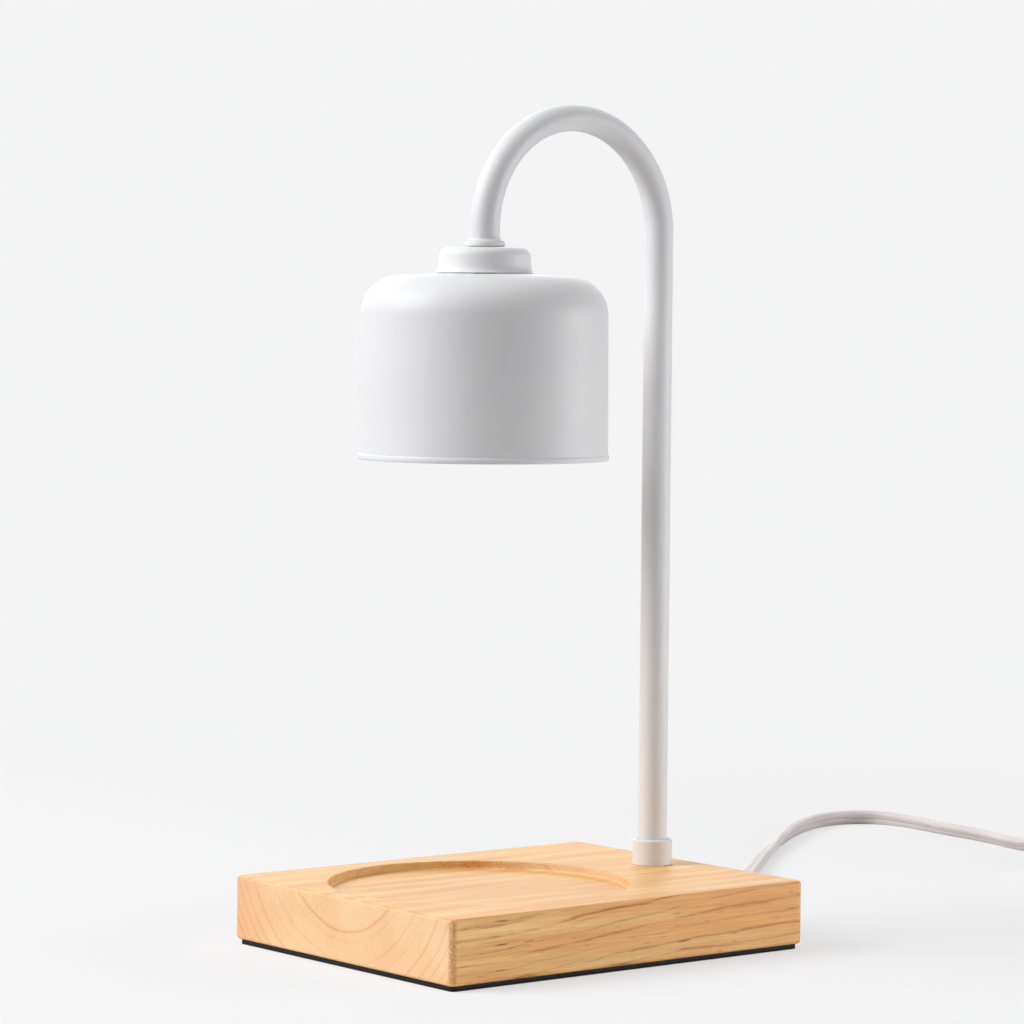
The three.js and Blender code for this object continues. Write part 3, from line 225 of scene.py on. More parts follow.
base_top = base_high.z
end_face = base_high.x
post_x = (collar_low.x + collar_high.x) / 2
lamp_x = (shade_low.x + shade_high.x) / 2
seat = next(m for m in frame["record"]["mounts"] if m["name"] == "candle_seat")
dish_floor = seat["pos_m"][2]
dish_radius = (base_high.y - base_low.y) / 2 - dish_side_margin
bend_radius = (post_x - lamp_x) / 2
bend_x = (post_x + lamp_x) / 2
tube_end = ring_low.z
spring_height = tube_end + short_leg
tube_hole = tube_diameter + 2 * fit
cord_y = 0.024
cord_exit_height = 0.011
dimmer_x = (dimmer_low.x + dimmer_high.x) / 2
dimmer_y = (dimmer_low.y + dimmer_high.y) / 2
dimmer_split = dimmer_height / 2
coil_x = 0.44
coil_y = -0.03
coil_high = coil_low + coil_layer
plug_x = (plug_low.x + plug_high.x) / 2
plug_y = plug_low.y
plug_z = plug_width / 2 + skin

# Route of the free cord from the bushing to the dimmer. It leaves standing on its edge, rolls
# over on the way and back again, and rises on its edge into the dimmer.
lead_points = [
    (end_face + fit, cord_y, cord_exit_height),
    (0.103, cord_y, cord_exit_height),
    (0.1147, cord_y, cord_exit_height),
    (0.124, 0.0246, 0.0108),
    (0.138, 0.0285, 0.009),
    (0.154, 0.0385, 0.0062),
    (0.172, 0.055, 0.0041),
    (0.190, 0.073, cord_rest),
    (0.207, 0.089, cord_rest),
    (0.230, 0.1095, cord_rest),
    (0.253, 0.130, cord_rest),
    (0.279, 0.151, cord_rest),
    (0.304, 0.1705, cord_rest),
    (0.322, 0.184, cord_rest),
    (0.338, 0.194, cord_rest),
    (0.350, 0.1998, cord_rest),
    (0.361, 0.203, cord_rest),
    (0.372, 0.2034, cord_rest),
    (0.381, 0.2004, cord_rest),
    (0.3875, 0.194, cord_rest),
    (0.3905, 0.185, cord_rest),
    (0.3908, 0.175, cord_rest),
    (0.3895, 0.162, cord_rest),
    (0.387, 0.144, cord_rest),
    (0.3855, 0.125, cord_rest),
    (0.3825, 0.107, cord_rest),
    (0.3785, 0.090, cord_rest),
    (0.376, 0.076, 0.0042),
    (0.3744, 0.062, 0.0062),
    (dimmer_x, 0.050, 0.0083),
    (dimmer_x, dimmer_y + dimmer_length / 2 - dimmer_entry + fit, dimmer_split),
]
# How far the cord's top edge leans to the right of its run, in degrees, along its length
lead_leans = [
    (0, 0), (0.1, 0), (0.25, 72), (0.4, 66), (0.53, 22), (0.6, 10),
    (0.68, 20), (0.74, 32), (0.8, 40), (0.925, 44), (0.97, 6), (0.985, 0), (1, 0),
]

# Routes from the dimmer to the coil, and from the coil to the plug
link_points = [
    (dimmer_x, dimmer_y - dimmer_length / 2 + dimmer_entry - fit, dimmer_split),
    (dimmer_x, -0.028, 0.008),
    (0.375, -0.041, 0.0056),
    (0.381, -0.055, 0.0048),
    (0.391, -0.066, coil_low),
    (0.405, -0.072, coil_low),
    (0.419, -0.0735, coil_low),
    (coil_x - cord_width - fit, coil_y - coil_radius, coil_low),
]
end_points = [
    (coil_x + coil_radius, coil_y + cord_width + fit, coil_high),
    (0.4841, -0.015, coil_high),
    (0.486, -0.006, coil_high),
    (0.487, 0.001, plug_z),
    (0.487, 0.008, plug_z),
]

# Colours, as red, green and blue from 0 to 255
pale_wood = (244, 200, 136)
warm_wood = (234, 171, 107)
pale_end = (237, 199, 155)
warm_end = (233, 188, 142)
red_end = (228, 172, 132)
corner_brown = (204, 136, 82)
ring_brown = (170, 92, 50)
ring_orange = (218, 146, 98)
fleck_brown = (104, 44, 22)
paint_colours = ((227, 227, 228), (224, 224, 226))
steel_colours = ((196, 198, 202), (170, 172, 175))
brass_colours = ((214, 176, 104), (186, 146, 80))
ceramic_colours = ((240, 237, 229), (230, 225, 214))
glass_colours = ((250, 252, 252), (244, 249, 250))
mirror_colours = ((222, 223, 227), (206, 208, 216))
plastic_colours = ((234, 231, 230), (228, 225, 224))
jacket_colours = ((209, 200, 198), (203, 193, 191))
board_black = (15, 14, 14)
foam_black = (9, 9, 10)
sheet_drift = 9
pale_fibre = (150, 146, 140)
board_greens = ((47, 107, 69), (42, 98, 62), (88, 150, 104))
backdrop_white = (244, 244, 245)
# The floor as the camera sees it, and as it lights the lamp from near by and from further off
floor_seen = (243, 243, 244)
table_white = (236, 236, 237)
room_grey = (112, 112, 113)

# Relief of the surfaces
wood_relief = 0.00012
paint_relief = 0.00002
metal_relief = 0.00002
ceramic_relief = 0.00005
glass_relief = 0.00006
mirror_relief = 0.0004
plastic_relief = 0.00004
jacket_relief = 0.00006
sheet_relief = 0.0001
track_relief = 0.00005

# Sockets of a mix node: its factor and two inputs, and its output
mix_sockets = {"RGBA": ((0, 6, 7), 2), "FLOAT": ((0, 2, 3), 0)}
# The stretches of a noise's values that most levels are taken from
noise_span = (0.3, 0.7)
tone_span = (0.25, 0.75)

# Wood: annual rings round a pith above the block, which runs nearly along X
pith_height = 0.061
pith_swing_share = 0.0275
pith_climb_share = 0.02
ring_reach = (0.03, 0.1)
# Rings as their distance from the pith and how dark they are
end_rings = [
    (0.044, 0.75), (0.048, 0.2), (0.057, 0.35), (0.0625, 0.2), (0.0695, 0.6),
    (0.0752, 0.45), (0.0795, 0.55), (0.0838, 0.45), (0.0872, 0.75), (0.0912, 0.5),
]
end_ring_fades = (0.0011, 0.0006)
long_rings = [
    (0.061, 0.5), (0.067, 0.4), (0.0732, 0.55), (0.0782, 0.5), (0.0806, 0.9), (0.0834, 0.55),
    (0.0857, 1.0), (0.0881, 0.45), (0.0908, 0.9), (0.0932, 0.6), (0.0957, 0.7),
]
long_ring_fades = (0.0005, 0.00012)
waver_reach = 0.005
ripple_reach = 0.0016
red_side = (0.04, 0.072)
corner_reach = (0.064, 0.069)
# Noises of the wood: their scale, or one for each axis, then detail and roughness
waver_noise = ((9, 24, 24), 2)
ripple_noise = ((34, 110, 110), 3)
band_noise = ((10, 130, 130), 3, 0.55)
gap_noise = ((40, 300, 300), 3, 0.6)
patch_noise = ((14, 60, 60), 2)
fibre_noise = ((34, 1500, 1500), 3, 0.6)
speckle_noise = (1300, 3, 0.65)
mottle_noise = (42, 3, 0.55)
# Scales of marks along the grain, from the pith and below it
streak_scales = (16, 1500, 40)
dash_scales = (75, 1700, 120)
pore_scales = (130, 2600, 300)
band_span = (0.33, 0.68)
faintest_fleck_share = 0.35
fleck_core_share = 0.4
fine_line_share = 0.62
pore_share = 0.55
red_side_share = 0.75
corner_share = 0.6
level_grain_share = 0.4
grit_share = 0.4

# Stage and light
floor_reach = 3.0
floor_solid_reach = 0.9
floor_lit_reach = 0.35
floor_glow_share = 0.62
table_reach = 0.42
room_reach = 0.65
ambient_strength = 0.02
front_gloss = 0.1
backdrop_facing = (-0.1, 0.6)
light_aim_height = 0.15
# Soft boxes: bearing and elevation in degrees, distance, width and height, and power in watts
light_boxes = {
    "key": (-79, 34, 2.6, 1.5, 1.8, 76),
    "right_panel": (90, 4, 1.3, 0.6, 0.5, 8.6),
    "low_panel": (48, -6, 1.0, 0.6, 0.1, 0.75),
    "overhead": (0, 84, 1.4, 1.2, 1.2, 6.6),
    "back_box": (180, 25, 1.5, 1.6, 0.8, 6),
    "front_fill": (0, 12, 1.8, 1.2, 1.2, 2.2),
}


# Camera

def make_camera():
    data = bpy.data.cameras.new("camera")
    data.sensor_width = sensor_width
    data.lens = sensor_width * focal_pixels / image_side
    camera = bpy.data.objects.new("camera", data)
    forward = Vector((
        math.cos(camera_yaw) * math.cos(camera_pitch),
        math.sin(camera_yaw) * math.cos(camera_pitch),
        math.sin(camera_pitch),
    ))
    camera.location = camera_place
    camera.rotation_mode = "QUATERNION"
    roll = Quaternion((0, 0, 1), camera_roll)
    camera.rotation_quaternion = forward.to_track_quat("-Z", "Y") @ roll
    bpy.context.scene.collection.objects.link(camera)
    bpy.context.scene.camera = camera


# Materials

def linear(colour):
    """A colour of 0 to 255, as the linear values that a shader takes."""
    shares = [value / 255 for value in colour]
    return tuple(s / 12.92 if s <= 0.04045 else ((s + 0.055) / 1.055) ** 2.4 for s in shares) + (1,)


class Graph:
    """The nodes of a material or of the world, with short calls for the kinds used here."""

    def __init__(self, name, tree=None):
        if tree is None:
            self.material = bpy.data.materials.new(name)
            self.material.use_nodes = True
            tree = self.material.node_tree
            self.shader = tree.nodes["Principled BSDF"]
            self.output = tree.nodes["Material Output"]
        self.tree = tree
        self.place = tree.nodes.new("ShaderNodeTexCoord").outputs["Object"]

    def feed(self, socket, value):
        if isinstance(value, bpy.types.NodeSocket):
            self.tree.links.new(value, socket)
        else:
            socket.default_value = value

    def node(self, kind, values=(), **settings):
        """A new node with its settings, whose first inputs take the values."""
        made = self.tree.nodes.new(kind)
        for name, value in settings.items():
            setattr(made, name, value)
        for socket, value in zip(made.inputs, values):
            self.feed(socket, value)
        return made

    def math(self, operation, first, second=0.0, clamp=False):
        made = self.node("ShaderNodeMath", (first, second), operation=operation, use_clamp=clamp)
        return made.outputs[0]

    def noise(self, scale, detail=3.0, roughness=0.5, place=None):
        made = self.node("ShaderNodeTexNoise", (place or self.place,))
        made.inputs["Scale"].default_value = scale
        made.inputs["Detail"].default_value = detail
        made.inputs["Roughness"].default_value = roughness
        return made.outputs["Fac"]

    def stretched_noise(self, scales, detail, roughness=0.5):
        """A noise with its own scale along each axis."""
        stretched = self.node("ShaderNodeMapping", (self.place,))
        stretched.inputs["Scale"].default_value = scales
        return self.noise(1, detail, roughness, stretched.outputs["Vector"])

    def levels(self, value, low, high, to_low=0.0, to_high=1.0, smooth=True):
        kind = "SMOOTHSTEP" if smooth else "LINEAR"
        values = (value, low, high, to_low, to_high)
        return self.node("ShaderNodeMapRange", values, interpolation_type=kind).outputs["Result"]

    def mix(self, factor, first, second, kind="RGBA"):
        """A blend of two colours, or of two values where the kind is FLOAT."""
        made = self.node("ShaderNodeMix", data_type=kind)
        inputs, output = mix_sockets[kind]
        for index, value in zip(inputs, (factor, first, second)):
            self.feed(made.inputs[index], value)
        return made.outputs[output]

    def drift(self, colours, value, span=noise_span):
        """A colour between two, which a value takes from the first to the second."""
        return self.mix(self.levels(value, *span), linear(colours[0]), linear(colours[1]))

    def blended(self, share, first, second):
        """Two shaders mixed."""
        return self.node("ShaderNodeMixShader", (share, first, second)).outputs[0]

    def ramp(self, value, stops):
        """Grey levels along a value, from (place, level) pairs."""
        made = self.node("ShaderNodeValToRGB", (value,))
        elements = made.color_ramp.elements
        for place, level in stops[1:-1]:
            elements.new(place).color = (level, level, level, 1)
        for element, (place, level) in ((elements[0], stops[0]), (elements[-1], stops[-1])):
            element.position = place
            element.color = (level, level, level, 1)
        return made.outputs["Color"]

    def bump(self, height, distance, strength):
        made = self.node("ShaderNodeBump")
        self.feed(made.inputs["Height"], height)
        made.inputs["Distance"].default_value = distance
        made.inputs["Strength"].default_value = strength
        return made.outputs["Normal"]

    def set(self, **values):
        for name, value in values.items():
            self.feed(self.shader.inputs[name.replace("_", " ")], value)


def ring_stops(rings, fades):
    """A line at each ring, sharp on its outer side and soft on its inner one."""
    inner, outer = ring_reach
    stops = [(0.0, 0.0)]
    for radius, depth in rings:
        for offset, level in ((-fades[0], 0.0), (0.0, depth), (fades[1], 0.0)):
            stops.append(((radius + offset - inner) / (outer - inner), level))
    stops.append((1.0, 0.0))
    return stops


def ring_lines(g, radius, rings, fades):
    """The rings as two ramps, since one ramp holds at most 32 stops."""
    share = g.levels(radius, *ring_reach, smooth=False)
    half = len(rings) // 2
    ramps = [g.ramp(share, ring_stops(part, fades)) for part in (rings[:half], rings[half:])]
    return g.math("MAXIMUM", *ramps)


def wavering(g, noise, reach):
    """Noise about zero, stretched along the grain, up to about half its reach either way."""
    return g.math("MULTIPLY", g.math("SUBTRACT", g.stretched_noise(*noise), 0.5), reach)


def wood_places(g):
    """How far a point is along the grain, from the pith and below it, and across the block."""
    x, y, z = g.node("ShaderNodeSeparateXYZ", (g.place,)).outputs
    side = g.math("SUBTRACT", y, g.math("MULTIPLY", x, pith_swing_share))
    below = g.math("SUBTRACT", z, g.math("MULTIPLY", x, pith_climb_share))
    below = g.math("SUBTRACT", below, pith_height)
    radius = g.math("SQRT", g.math("ADD", g.math("POWER", side, 2.0), g.math("POWER", below, 2.0)))
    radius = g.math("ADD", radius, wavering(g, waver_noise, waver_reach))
    return x, radius, below, y


def grain_vector(g, places, scales):
    """Coordinates that follow the rings, for marks that run along the grain."""
    scaled = [g.math("MULTIPLY", place, scale) for place, scale in zip(places, scales)]
    return g.node("ShaderNodeCombineXYZ", scaled).outputs[0]


def wood_flecks(g, places, scales, rarity_share, size_share):
    """Short dark dashes: the inner part of a few cells that are long along the grain."""
    cells = g.node("ShaderNodeTexVoronoi", (grain_vector(g, places, scales),))
    cells.inputs["Scale"].default_value = 1
    picks = g.node("ShaderNodeSeparateColor", (cells.outputs["Color"],)).outputs
    chosen = g.math("GREATER_THAN", picks[0], rarity_share)
    darker = g.math("MULTIPLY", picks[1], 1 - faintest_fleck_share)
    strength = g.math("ADD", faintest_fleck_share, darker)
    core = g.levels(cells.outputs["Distance"], size_share * fleck_core_share, size_share, 1.0, 0.0)
    return g.math("MULTIPLY", g.math("MULTIPLY", chosen, core), strength)


def long_grain_colour(g, places, level_share):
    """Faces along the grain: pale and warm bands, thin ragged ring lines, streaks and dashes."""
    rippled_radius = g.math("ADD", places[1], wavering(g, ripple_noise, ripple_reach))
    rippled = (places[0], rippled_radius, places[2])
    body = g.drift((pale_wood, warm_wood), g.stretched_noise(*band_noise), band_span)

    lines = ring_lines(g, rippled_radius, long_rings, long_ring_fades)
    lines = g.math("MULTIPLY", lines, g.levels(g.stretched_noise(*gap_noise), 0.38, 0.58, 0.2, 1.0))
    streaks = g.noise(1, 4, 0.65, grain_vector(g, rippled, streak_scales))
    fine_lines = g.math("MULTIPLY", g.levels(streaks, 0.56, 0.74), fine_line_share)
    patches = g.levels(g.stretched_noise(*patch_noise), 0.42, 0.6, 0.25, 1.0)
    fine_lines = g.math("MULTIPLY", fine_lines, patches)
    drawn = g.math("MULTIPLY", g.math("MAXIMUM", lines, fine_lines), level_share)
    coloured = g.mix(drawn, body, linear(ring_brown))

    dashes = wood_flecks(g, rippled, dash_scales, 0.95, 0.34)
    pores = wood_flecks(g, rippled, pore_scales, 0.9, 0.36)
    dark = g.math("MAXIMUM", dashes, g.math("MULTIPLY", pores, pore_share))
    dark = g.math("MULTIPLY", dark, level_share)
    return g.mix(dark, coloured, linear(fleck_brown)), dark


def end_grain_colour(g, places, mottle):
    """Faces across the grain: soft orange arcs, and a redder side."""
    body = g.drift((pale_end, warm_end), mottle, (0.35, 0.7))
    redder = g.math("MULTIPLY", g.levels(places[3], *red_side), red_side_share)
    body = g.mix(redder, body, linear(red_end))
    lines = ring_lines(g, places[1], end_rings, end_ring_fades)
    lines = g.math("MULTIPLY", lines, g.levels(mottle, *noise_span, 0.55, 1.0))
    return g.mix(lines, body, linear(ring_orange))


def wood():
    g = Graph("wood")
    places = wood_places(g)

    # Faces across the grain, level faces, and the rounded upright corners
    normal = g.node("ShaderNodeTexCoord").outputs["Normal"]
    facing = g.node("ShaderNodeSeparateXYZ", (normal,)).outputs
    across, aside, level = [g.math("POWER", part, 2.0) for part in facing]
    end_grain = g.levels(across, 0.45, 0.75)
    corner = g.levels(g.math("MULTIPLY", across, aside), 0.02, 0.16)
    outside = g.levels(g.math("ABSOLUTE", places[3]), *corner_reach)
    corner = g.math("MULTIPLY", corner, outside)

    fibre = g.stretched_noise(*fibre_noise)
    speckle = g.noise(*speckle_noise)
    mottle = g.noise(*mottle_noise)

    level_share = g.levels(level, 0.3, 0.9, 1.0, level_grain_share)
    long_colour, dark = long_grain_colour(g, places, level_share)
    coloured = g.mix(end_grain, long_colour, end_grain_colour(g, places, mottle))

    # The cut fibres of the upright corners are rough: darker, with pale grains
    corner_colour = g.drift((corner_brown, pale_end), speckle, (0.5, 0.62))
    coloured = g.mix(g.math("MULTIPLY", corner, corner_share), coloured, corner_colour)

    long_tone = g.levels(fibre, *tone_span, 0.88, 1.1)
    end_tone = g.levels(speckle, *tone_span, 0.93, 1.05)
    toned = g.node("ShaderNodeVectorMath", (coloured,), operation="SCALE")
    g.feed(toned.inputs["Scale"], g.mix(end_grain, long_tone, end_tone, "FLOAT"))

    relief = g.math("ADD", g.math("MULTIPLY", fibre, 0.5), g.math("MULTIPLY", speckle, corner))
    relief = g.math("SUBTRACT", relief, dark)
    g.set(
        Base_Color=toned.outputs[0],
        Roughness=g.levels(fibre, 0.2, 0.8, 0.4, 0.5),
        Specular_IOR_Level=0.25,
        Normal=g.bump(relief, wood_relief, 0.4),
    )
    return g.material


def painted():
    """Satin powder coat with a fine orange peel."""
    g = Graph("white_paint")
    peel = g.noise(1100, 2)
    grit = g.noise(4200, 2)
    rough = g.math("ADD", peel, g.math("MULTIPLY", grit, grit_share))
    g.set(
        Base_Color=g.drift(paint_colours, g.noise(30, 2)),
        Roughness=g.levels(peel, *noise_span, 0.46, 0.54),
        Specular_IOR_Level=0.4,
        Normal=g.bump(rough, paint_relief, 0.5),
    )
    return g.material


def metal(name, colours, roughness):
    g = Graph(name)
    brushed = g.stretched_noise((300, 300, 3000), 3, 0.6)
    stain = g.noise(160, 3, 0.6)
    g.set(
        Base_Color=g.drift(colours, stain, (0.35, 0.7)),
        Metallic=1.0,
        Roughness=g.levels(stain, *noise_span, roughness - 0.06, roughness + 0.1),
        Normal=g.bump(brushed, metal_relief, 0.4),
    )
    return g.material


def plain(name, colours, cloud, grain, roughness, relief, strength, **more):
    """A colour that drifts with a broad noise, and a finer one in the gloss and the relief."""
    g = Graph(name)
    fine = g.noise(*grain)
    g.set(
        Base_Color=g.drift(colours, g.noise(*cloud)),
        Roughness=g.levels(fine, *noise_span, *roughness),
        Normal=g.bump(fine, relief, strength),
        **more,
    )
    return g.material


def ceramic():
    cloud, grain = (90, 3), (2600, 3, 0.6)
    return plain("ceramic", ceramic_colours, cloud, grain, (0.5, 0.65), ceramic_relief, 0.5)


def clear_glass():
    ripple = (420, 2)
    return plain(
        "clear_glass", glass_colours, ripple, ripple, (0.03, 0.09), glass_relief, 0.4,
        Transmission_Weight=1.0, IOR=1.47,
    )


def white_plastic():
    cloud, spark = (55, 2), (2400, 3, 0.6)
    return plain("white_plastic", plastic_colours, cloud, spark, (0.38, 0.5), plastic_relief, 0.5)


def cord_jacket():
    """Soft vinyl with a faint pebble."""
    cloud, pebble = (26, 2), (1500, 3, 0.6)
    return plain("cord_jacket", jacket_colours, cloud, pebble, (0.36, 0.5), jacket_relief, 0.45)


def mirror_glass():
    """Pressed glass with a dimpled mirror coat."""
    g = Graph("mirror_glass")
    cells = g.node("ShaderNodeTexVoronoi", (g.place,), feature="SMOOTH_F1")
    cells.inputs["Scale"].default_value = 330
    g.set(
        Base_Color=g.drift(mirror_colours, g.noise(70, 2)),
        Metallic=0.85,
        Roughness=g.levels(cells.outputs["Distance"], 0, 0.6, 0.14, 0.26),
        Normal=g.bump(cells.outputs["Distance"], mirror_relief, 0.5),
    )
    return g.material


def black_sheet(name, colour, grain_scale, roughness, fleck_level):
    """A black layer under the base, with a few pale fibres and grains in it."""
    g = Graph(name)
    grain = g.noise(grain_scale, 4, 0.65)
    specks = g.stretched_noise((900, 900, 1800), 2)
    pale = g.levels(specks, fleck_level, fleck_level + 0.03)
    lighter = tuple(value + sheet_drift for value in colour)
    shaded = g.drift((colour, lighter), grain)
    g.set(
        Base_Color=g.mix(g.math("MULTIPLY", pale, 0.6), shaded, linear(pale_fibre)),
        Roughness=g.levels(grain, *noise_span, roughness - 0.08, roughness + 0.06),
        Normal=g.bump(grain, sheet_relief, 0.7),
    )
    return g.material


def circuit_board():
    g = Graph("circuit_board")
    tracks = g.node("ShaderNodeTexBrick", (g.place, *map(linear, board_greens)))
    tracks.inputs["Scale"].default_value = 260
    tracks.inputs["Mortar Size"].default_value = 0.03
    g.set(
        Base_Color=tracks.outputs["Color"],
        Roughness=g.levels(g.noise(300), *noise_span, 0.4, 0.6),
        Normal=g.bump(tracks.outputs["Fac"], track_relief, 0.5),
    )
    return g.material


materials = {
    "wood": wood(),
    "black_board": black_sheet("black_board", board_black, 1400, 0.8, 0.74),
    "foam_pad": black_sheet("foam_pad", foam_black, 2600, 0.92, 0.76),
    "white_paint": painted(),
    "steel": metal("steel", steel_colours, 0.34),
    "brass": metal("brass", brass_colours, 0.28),
    "ceramic": ceramic(),
    "clear_glass": clear_glass(),
    "mirror_glass": mirror_glass(),
    "white_plastic": white_plastic(),
    "circuit_board": circuit_board(),
    "cord_jacket": cord_jacket(),
}


# Mesh helpers

def arc(centre_x, centre_y, radius, start, end, steps=8):
    """Points on an arc, from one angle to another, in degrees."""
    points = []
    for i in range(steps + 1):
        angle = math.radians(start + (end - start) * i / steps)
        points.append((centre_x + radius * math.cos(angle), centre_y + radius * math.sin(angle)))
    return points


def even_shares(steps):
    """0 to 1 in equal steps."""
    return [i / steps for i in range(steps + 1)]


def eased(share):
    """A share that starts and ends gently."""
    return share * share * (3 - 2 * share)


def loft(name, rings, caps=True, wrap=False):
    """An object whose surface joins rings of equal counts of points."""
    count = len(rings[0])
    mesh = bmesh.new()
    vertices = [[mesh.verts.new(point) for point in ring] for ring in rings]
    pairs = list(zip(vertices, vertices[1:]))
    if wrap:
        pairs.append((vertices[-1], vertices[0]))
    for here, there in pairs:
        for j in range(count):
            k = (j + 1) % count
            mesh.faces.new((here[j], here[k], there[k], there[j]))
    if caps and not wrap:
        mesh.faces.new(reversed(vertices[0]))
        mesh.faces.new(vertices[-1])
    return object_from(name, mesh)


def object_from(name, mesh):
    bmesh.ops.remove_doubles(mesh, verts=mesh.verts, dist=weld_distance)
    bmesh.ops.dissolve_degenerate(mesh, edges=mesh.edges, dist=weld_distance)
    bmesh.ops.recalc_face_normals(mesh, faces=mesh.faces)
    data = bpy.data.meshes.new(name)
    mesh.to_mesh(data)
    mesh.free()
    piece = bpy.data.objects.new(name, data)
    bpy.context.scene.collection.objects.link(piece)
    return piece


def revolve(name, outline, centre, sides=96, axis="Z", closed=True):
    """A body of revolution. The outline is a list of (radius, height) along the axis."""
    rings = []
    for radius, height in outline:
        ring = []
        for i in range(sides):
            angle = 2 * math.pi * i / sides
            across, up = radius * math.cos(angle), radius * math.sin(angle)
            point = (across, up, height) if axis == "Z" else (height, across, up)
            ring.append(Vector(point) + Vector(centre))
        rings.append(ring)
    return loft(name, rings, caps=False, wrap=closed)


def stack(name, outline, height, edge, steps=6):
    """A prism with rounded top and bottom edges. outline(inset) gives its points."""
    levels = []
    for i in range(steps + 1):
        angle = math.pi / 2 * i / steps
        levels.append((edge * (1 - math.sin(angle)), edge * (1 - math.cos(angle))))
    levels += [(inset, height - low) for inset, low in reversed(levels)]
    rings = [[(x, y, z) for x, y in outline(inset)] for inset, z in levels]
    return loft(name, rings)


def rounded_rectangle(length, width, corner, steps=8):
    def outline(inset):
        radius = corner - inset
        x, y = length / 2 - corner, width / 2 - corner
        return (
            arc(x, y, radius, 0, 90, steps)
            + arc(-x, y, radius, 90, 180, steps)
            + arc(-x, -y, radius, 180, 270, steps)
            + arc(x, -y, radius, 270, 360, steps)
        )
    return outline


def prism(name, points, low, high):
    return loft(name, [[(x, y, z) for x, y in points] for z in (low, high)])


def box(name, low, high):
    (x0, y0, z0), (x1, y1, z1) = low, high
    return prism(name, [(x0, y0), (x1, y0), (x1, y1), (x0, y1)], z0, z1)


def rod(name, diameter, start, length, axis="Z", sides=48):
    outline = [(0, 0), (diameter / 2, 0), (diameter / 2, length), (0, length)]
    return revolve(name, outline, start, sides, axis, closed=False)


def moved(piece, matrix):
    piece.data.transform(matrix)


def shifted(piece, x, y, z):
    moved(piece, Matrix.Translation((x, y, z)))


def half_width(low, high):
    return (high.x - low.x) / 2


def node_middle(name):
    """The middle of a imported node, seen from above."""
    low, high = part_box(name)
    return (low.x + high.x) / 2, (low.y + high.y) / 2


def combine(piece, tools, operation="DIFFERENCE"):
    """Cuts the tools from a piece, or joins them to it, and removes them."""
    for tool in tools:
        modifier = piece.modifiers.new("boolean", "BOOLEAN")
        modifier.operation = operation
        modifier.solver = "EXACT"
        modifier.object = tool
    graph = bpy.context.evaluated_depsgraph_get()
    piece.data = bpy.data.meshes.new_from_object(piece.evaluated_get(graph))
    piece.modifiers.clear()
    for tool in tools:
        bpy.data.objects.remove(tool)
    return piece


def dress(piece, slot, body, *replaced, weighted=False):
    """Gives a finished piece its shading, its material and its body, and hides the nodes it stands
    for.
    """
    piece.data.shade_smooth()
    piece.data.set_sharp_from_angle(angle=sharp_angle)
    piece.data.materials.clear()
    piece.data.materials.append(materials[slot])
    if weighted:
        modifier = piece.modifiers.new("normals", "WEIGHTED_NORMAL")
        modifier.keep_sharp = True
        modifier.weight = 90
    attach(piece, body)
    if replaced:
        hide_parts(*replaced)
    return piece


# Cords

def slope(before, here, after, near, far):
    """The slope of a centripetal curve at a point, from its neighbours and the spans to them."""
    return (here - before) / near - (after - before) / (near + far) + (after - here) / far


def smooth_route(points):
    """Points along a centripetal Catmull-Rom curve through the given ones."""
    given = [Vector(point) for point in points]
    given = [given[0] * 2 - given[1], *given, given[-1] * 2 - given[-2]]
    route = []
    for before, start, end, after in zip(given, given[1:], given[2:], given[3:]):
        pairs = ((before, start), (start, end), (end, after))
        near, span, far = [math.sqrt((b - a).length) for a, b in pairs]
        first = slope(before, start, end, near, span) * span
        last = slope(start, end, after, span, far) * span
        steps = max(1, math.ceil((end - start).length / ring_spacing))
        for i in range(steps):
            t = i / steps
            route.append(
                start
                + first * t
                + (3 * (end - start) - 2 * first - last) * t**2
                + (2 * (start - end) + first + last) * t**3
            )
    route.append(given[-2])
    return route


def lean_at(share, leans):
    """The lean in radians at a share of the cord's length, eased between the given ones."""
    for (low, start), (high, end) in zip(leans, leans[1:]):
        if share <= high:
            return math.radians(start + (end - start) * eased((share - low) / (high - low)))
    return math.radians(leans[-1][1])


def twin_section():
    """Two flattened cores side by side, with a groove between them. Its long side is first."""
    power = cord_square_power
    middle, half_thick = cord_width / 4, cord_thickness / 2
    level = 1 - groove_depth / half_thick
    inner_reach = middle / (1 - level**power) ** (1 / power)
    outer_steps, inner_steps = 12, 5
    outer, inner = [], []
    for i in range(outer_steps + 1):
        angle = math.pi * (i / outer_steps - 0.5)
        rise = math.copysign(abs(math.sin(angle)) ** (2 / power), math.sin(angle))
        outer.append((middle * (1 + abs(math.cos(angle)) ** (2 / power)), half_thick * rise))
    for i in range(1, inner_steps):
        offset = middle * i / inner_steps
        rise = (1 - (offset / inner_reach) ** power) ** (1 / power)
        inner.append((middle - offset, half_thick * rise))
    core = [(u, -v) for u, v in inner[::-1]] + outer + inner + [(0, half_thick * level)]
    return core + [(-u, -v) for u, v in core]


def cord_mesh(name, points, leans):
    """A flat twin cord that stands on its edge along a route, but for its leans."""
    route = smooth_route(points)
    total = sum((b - a).length for a, b in zip(route, route[1:]))
    core_offset = (cord_width - cord_thickness) / 2
    section = twin_section()
    rings, centres, gone = [], [], 0
    for i, point in enumerate(route):
        if i:
            gone += (point - route[i - 1]).length
        tangent = (route[min(i + 1, len(route) - 1)] - route[max(i - 1, 0)]).normalized()
        side = Vector((0, 0, 1)).cross(tangent).normalized()
        upright = tangent.cross(side)
        lean = lean_at(gone / total, leans)
        centre = point - Vector((0, 0, core_offset * (1 - math.cos(lean))))
        long_side = upright * math.cos(lean) - side * math.sin(lean)
        short_side = side * math.cos(lean) + upright * math.sin(lean)
        rings.append([centre + long_side * u + short_side * v for u, v in section])
        centres.append(centre)
    return loft(name, rings), centres, total


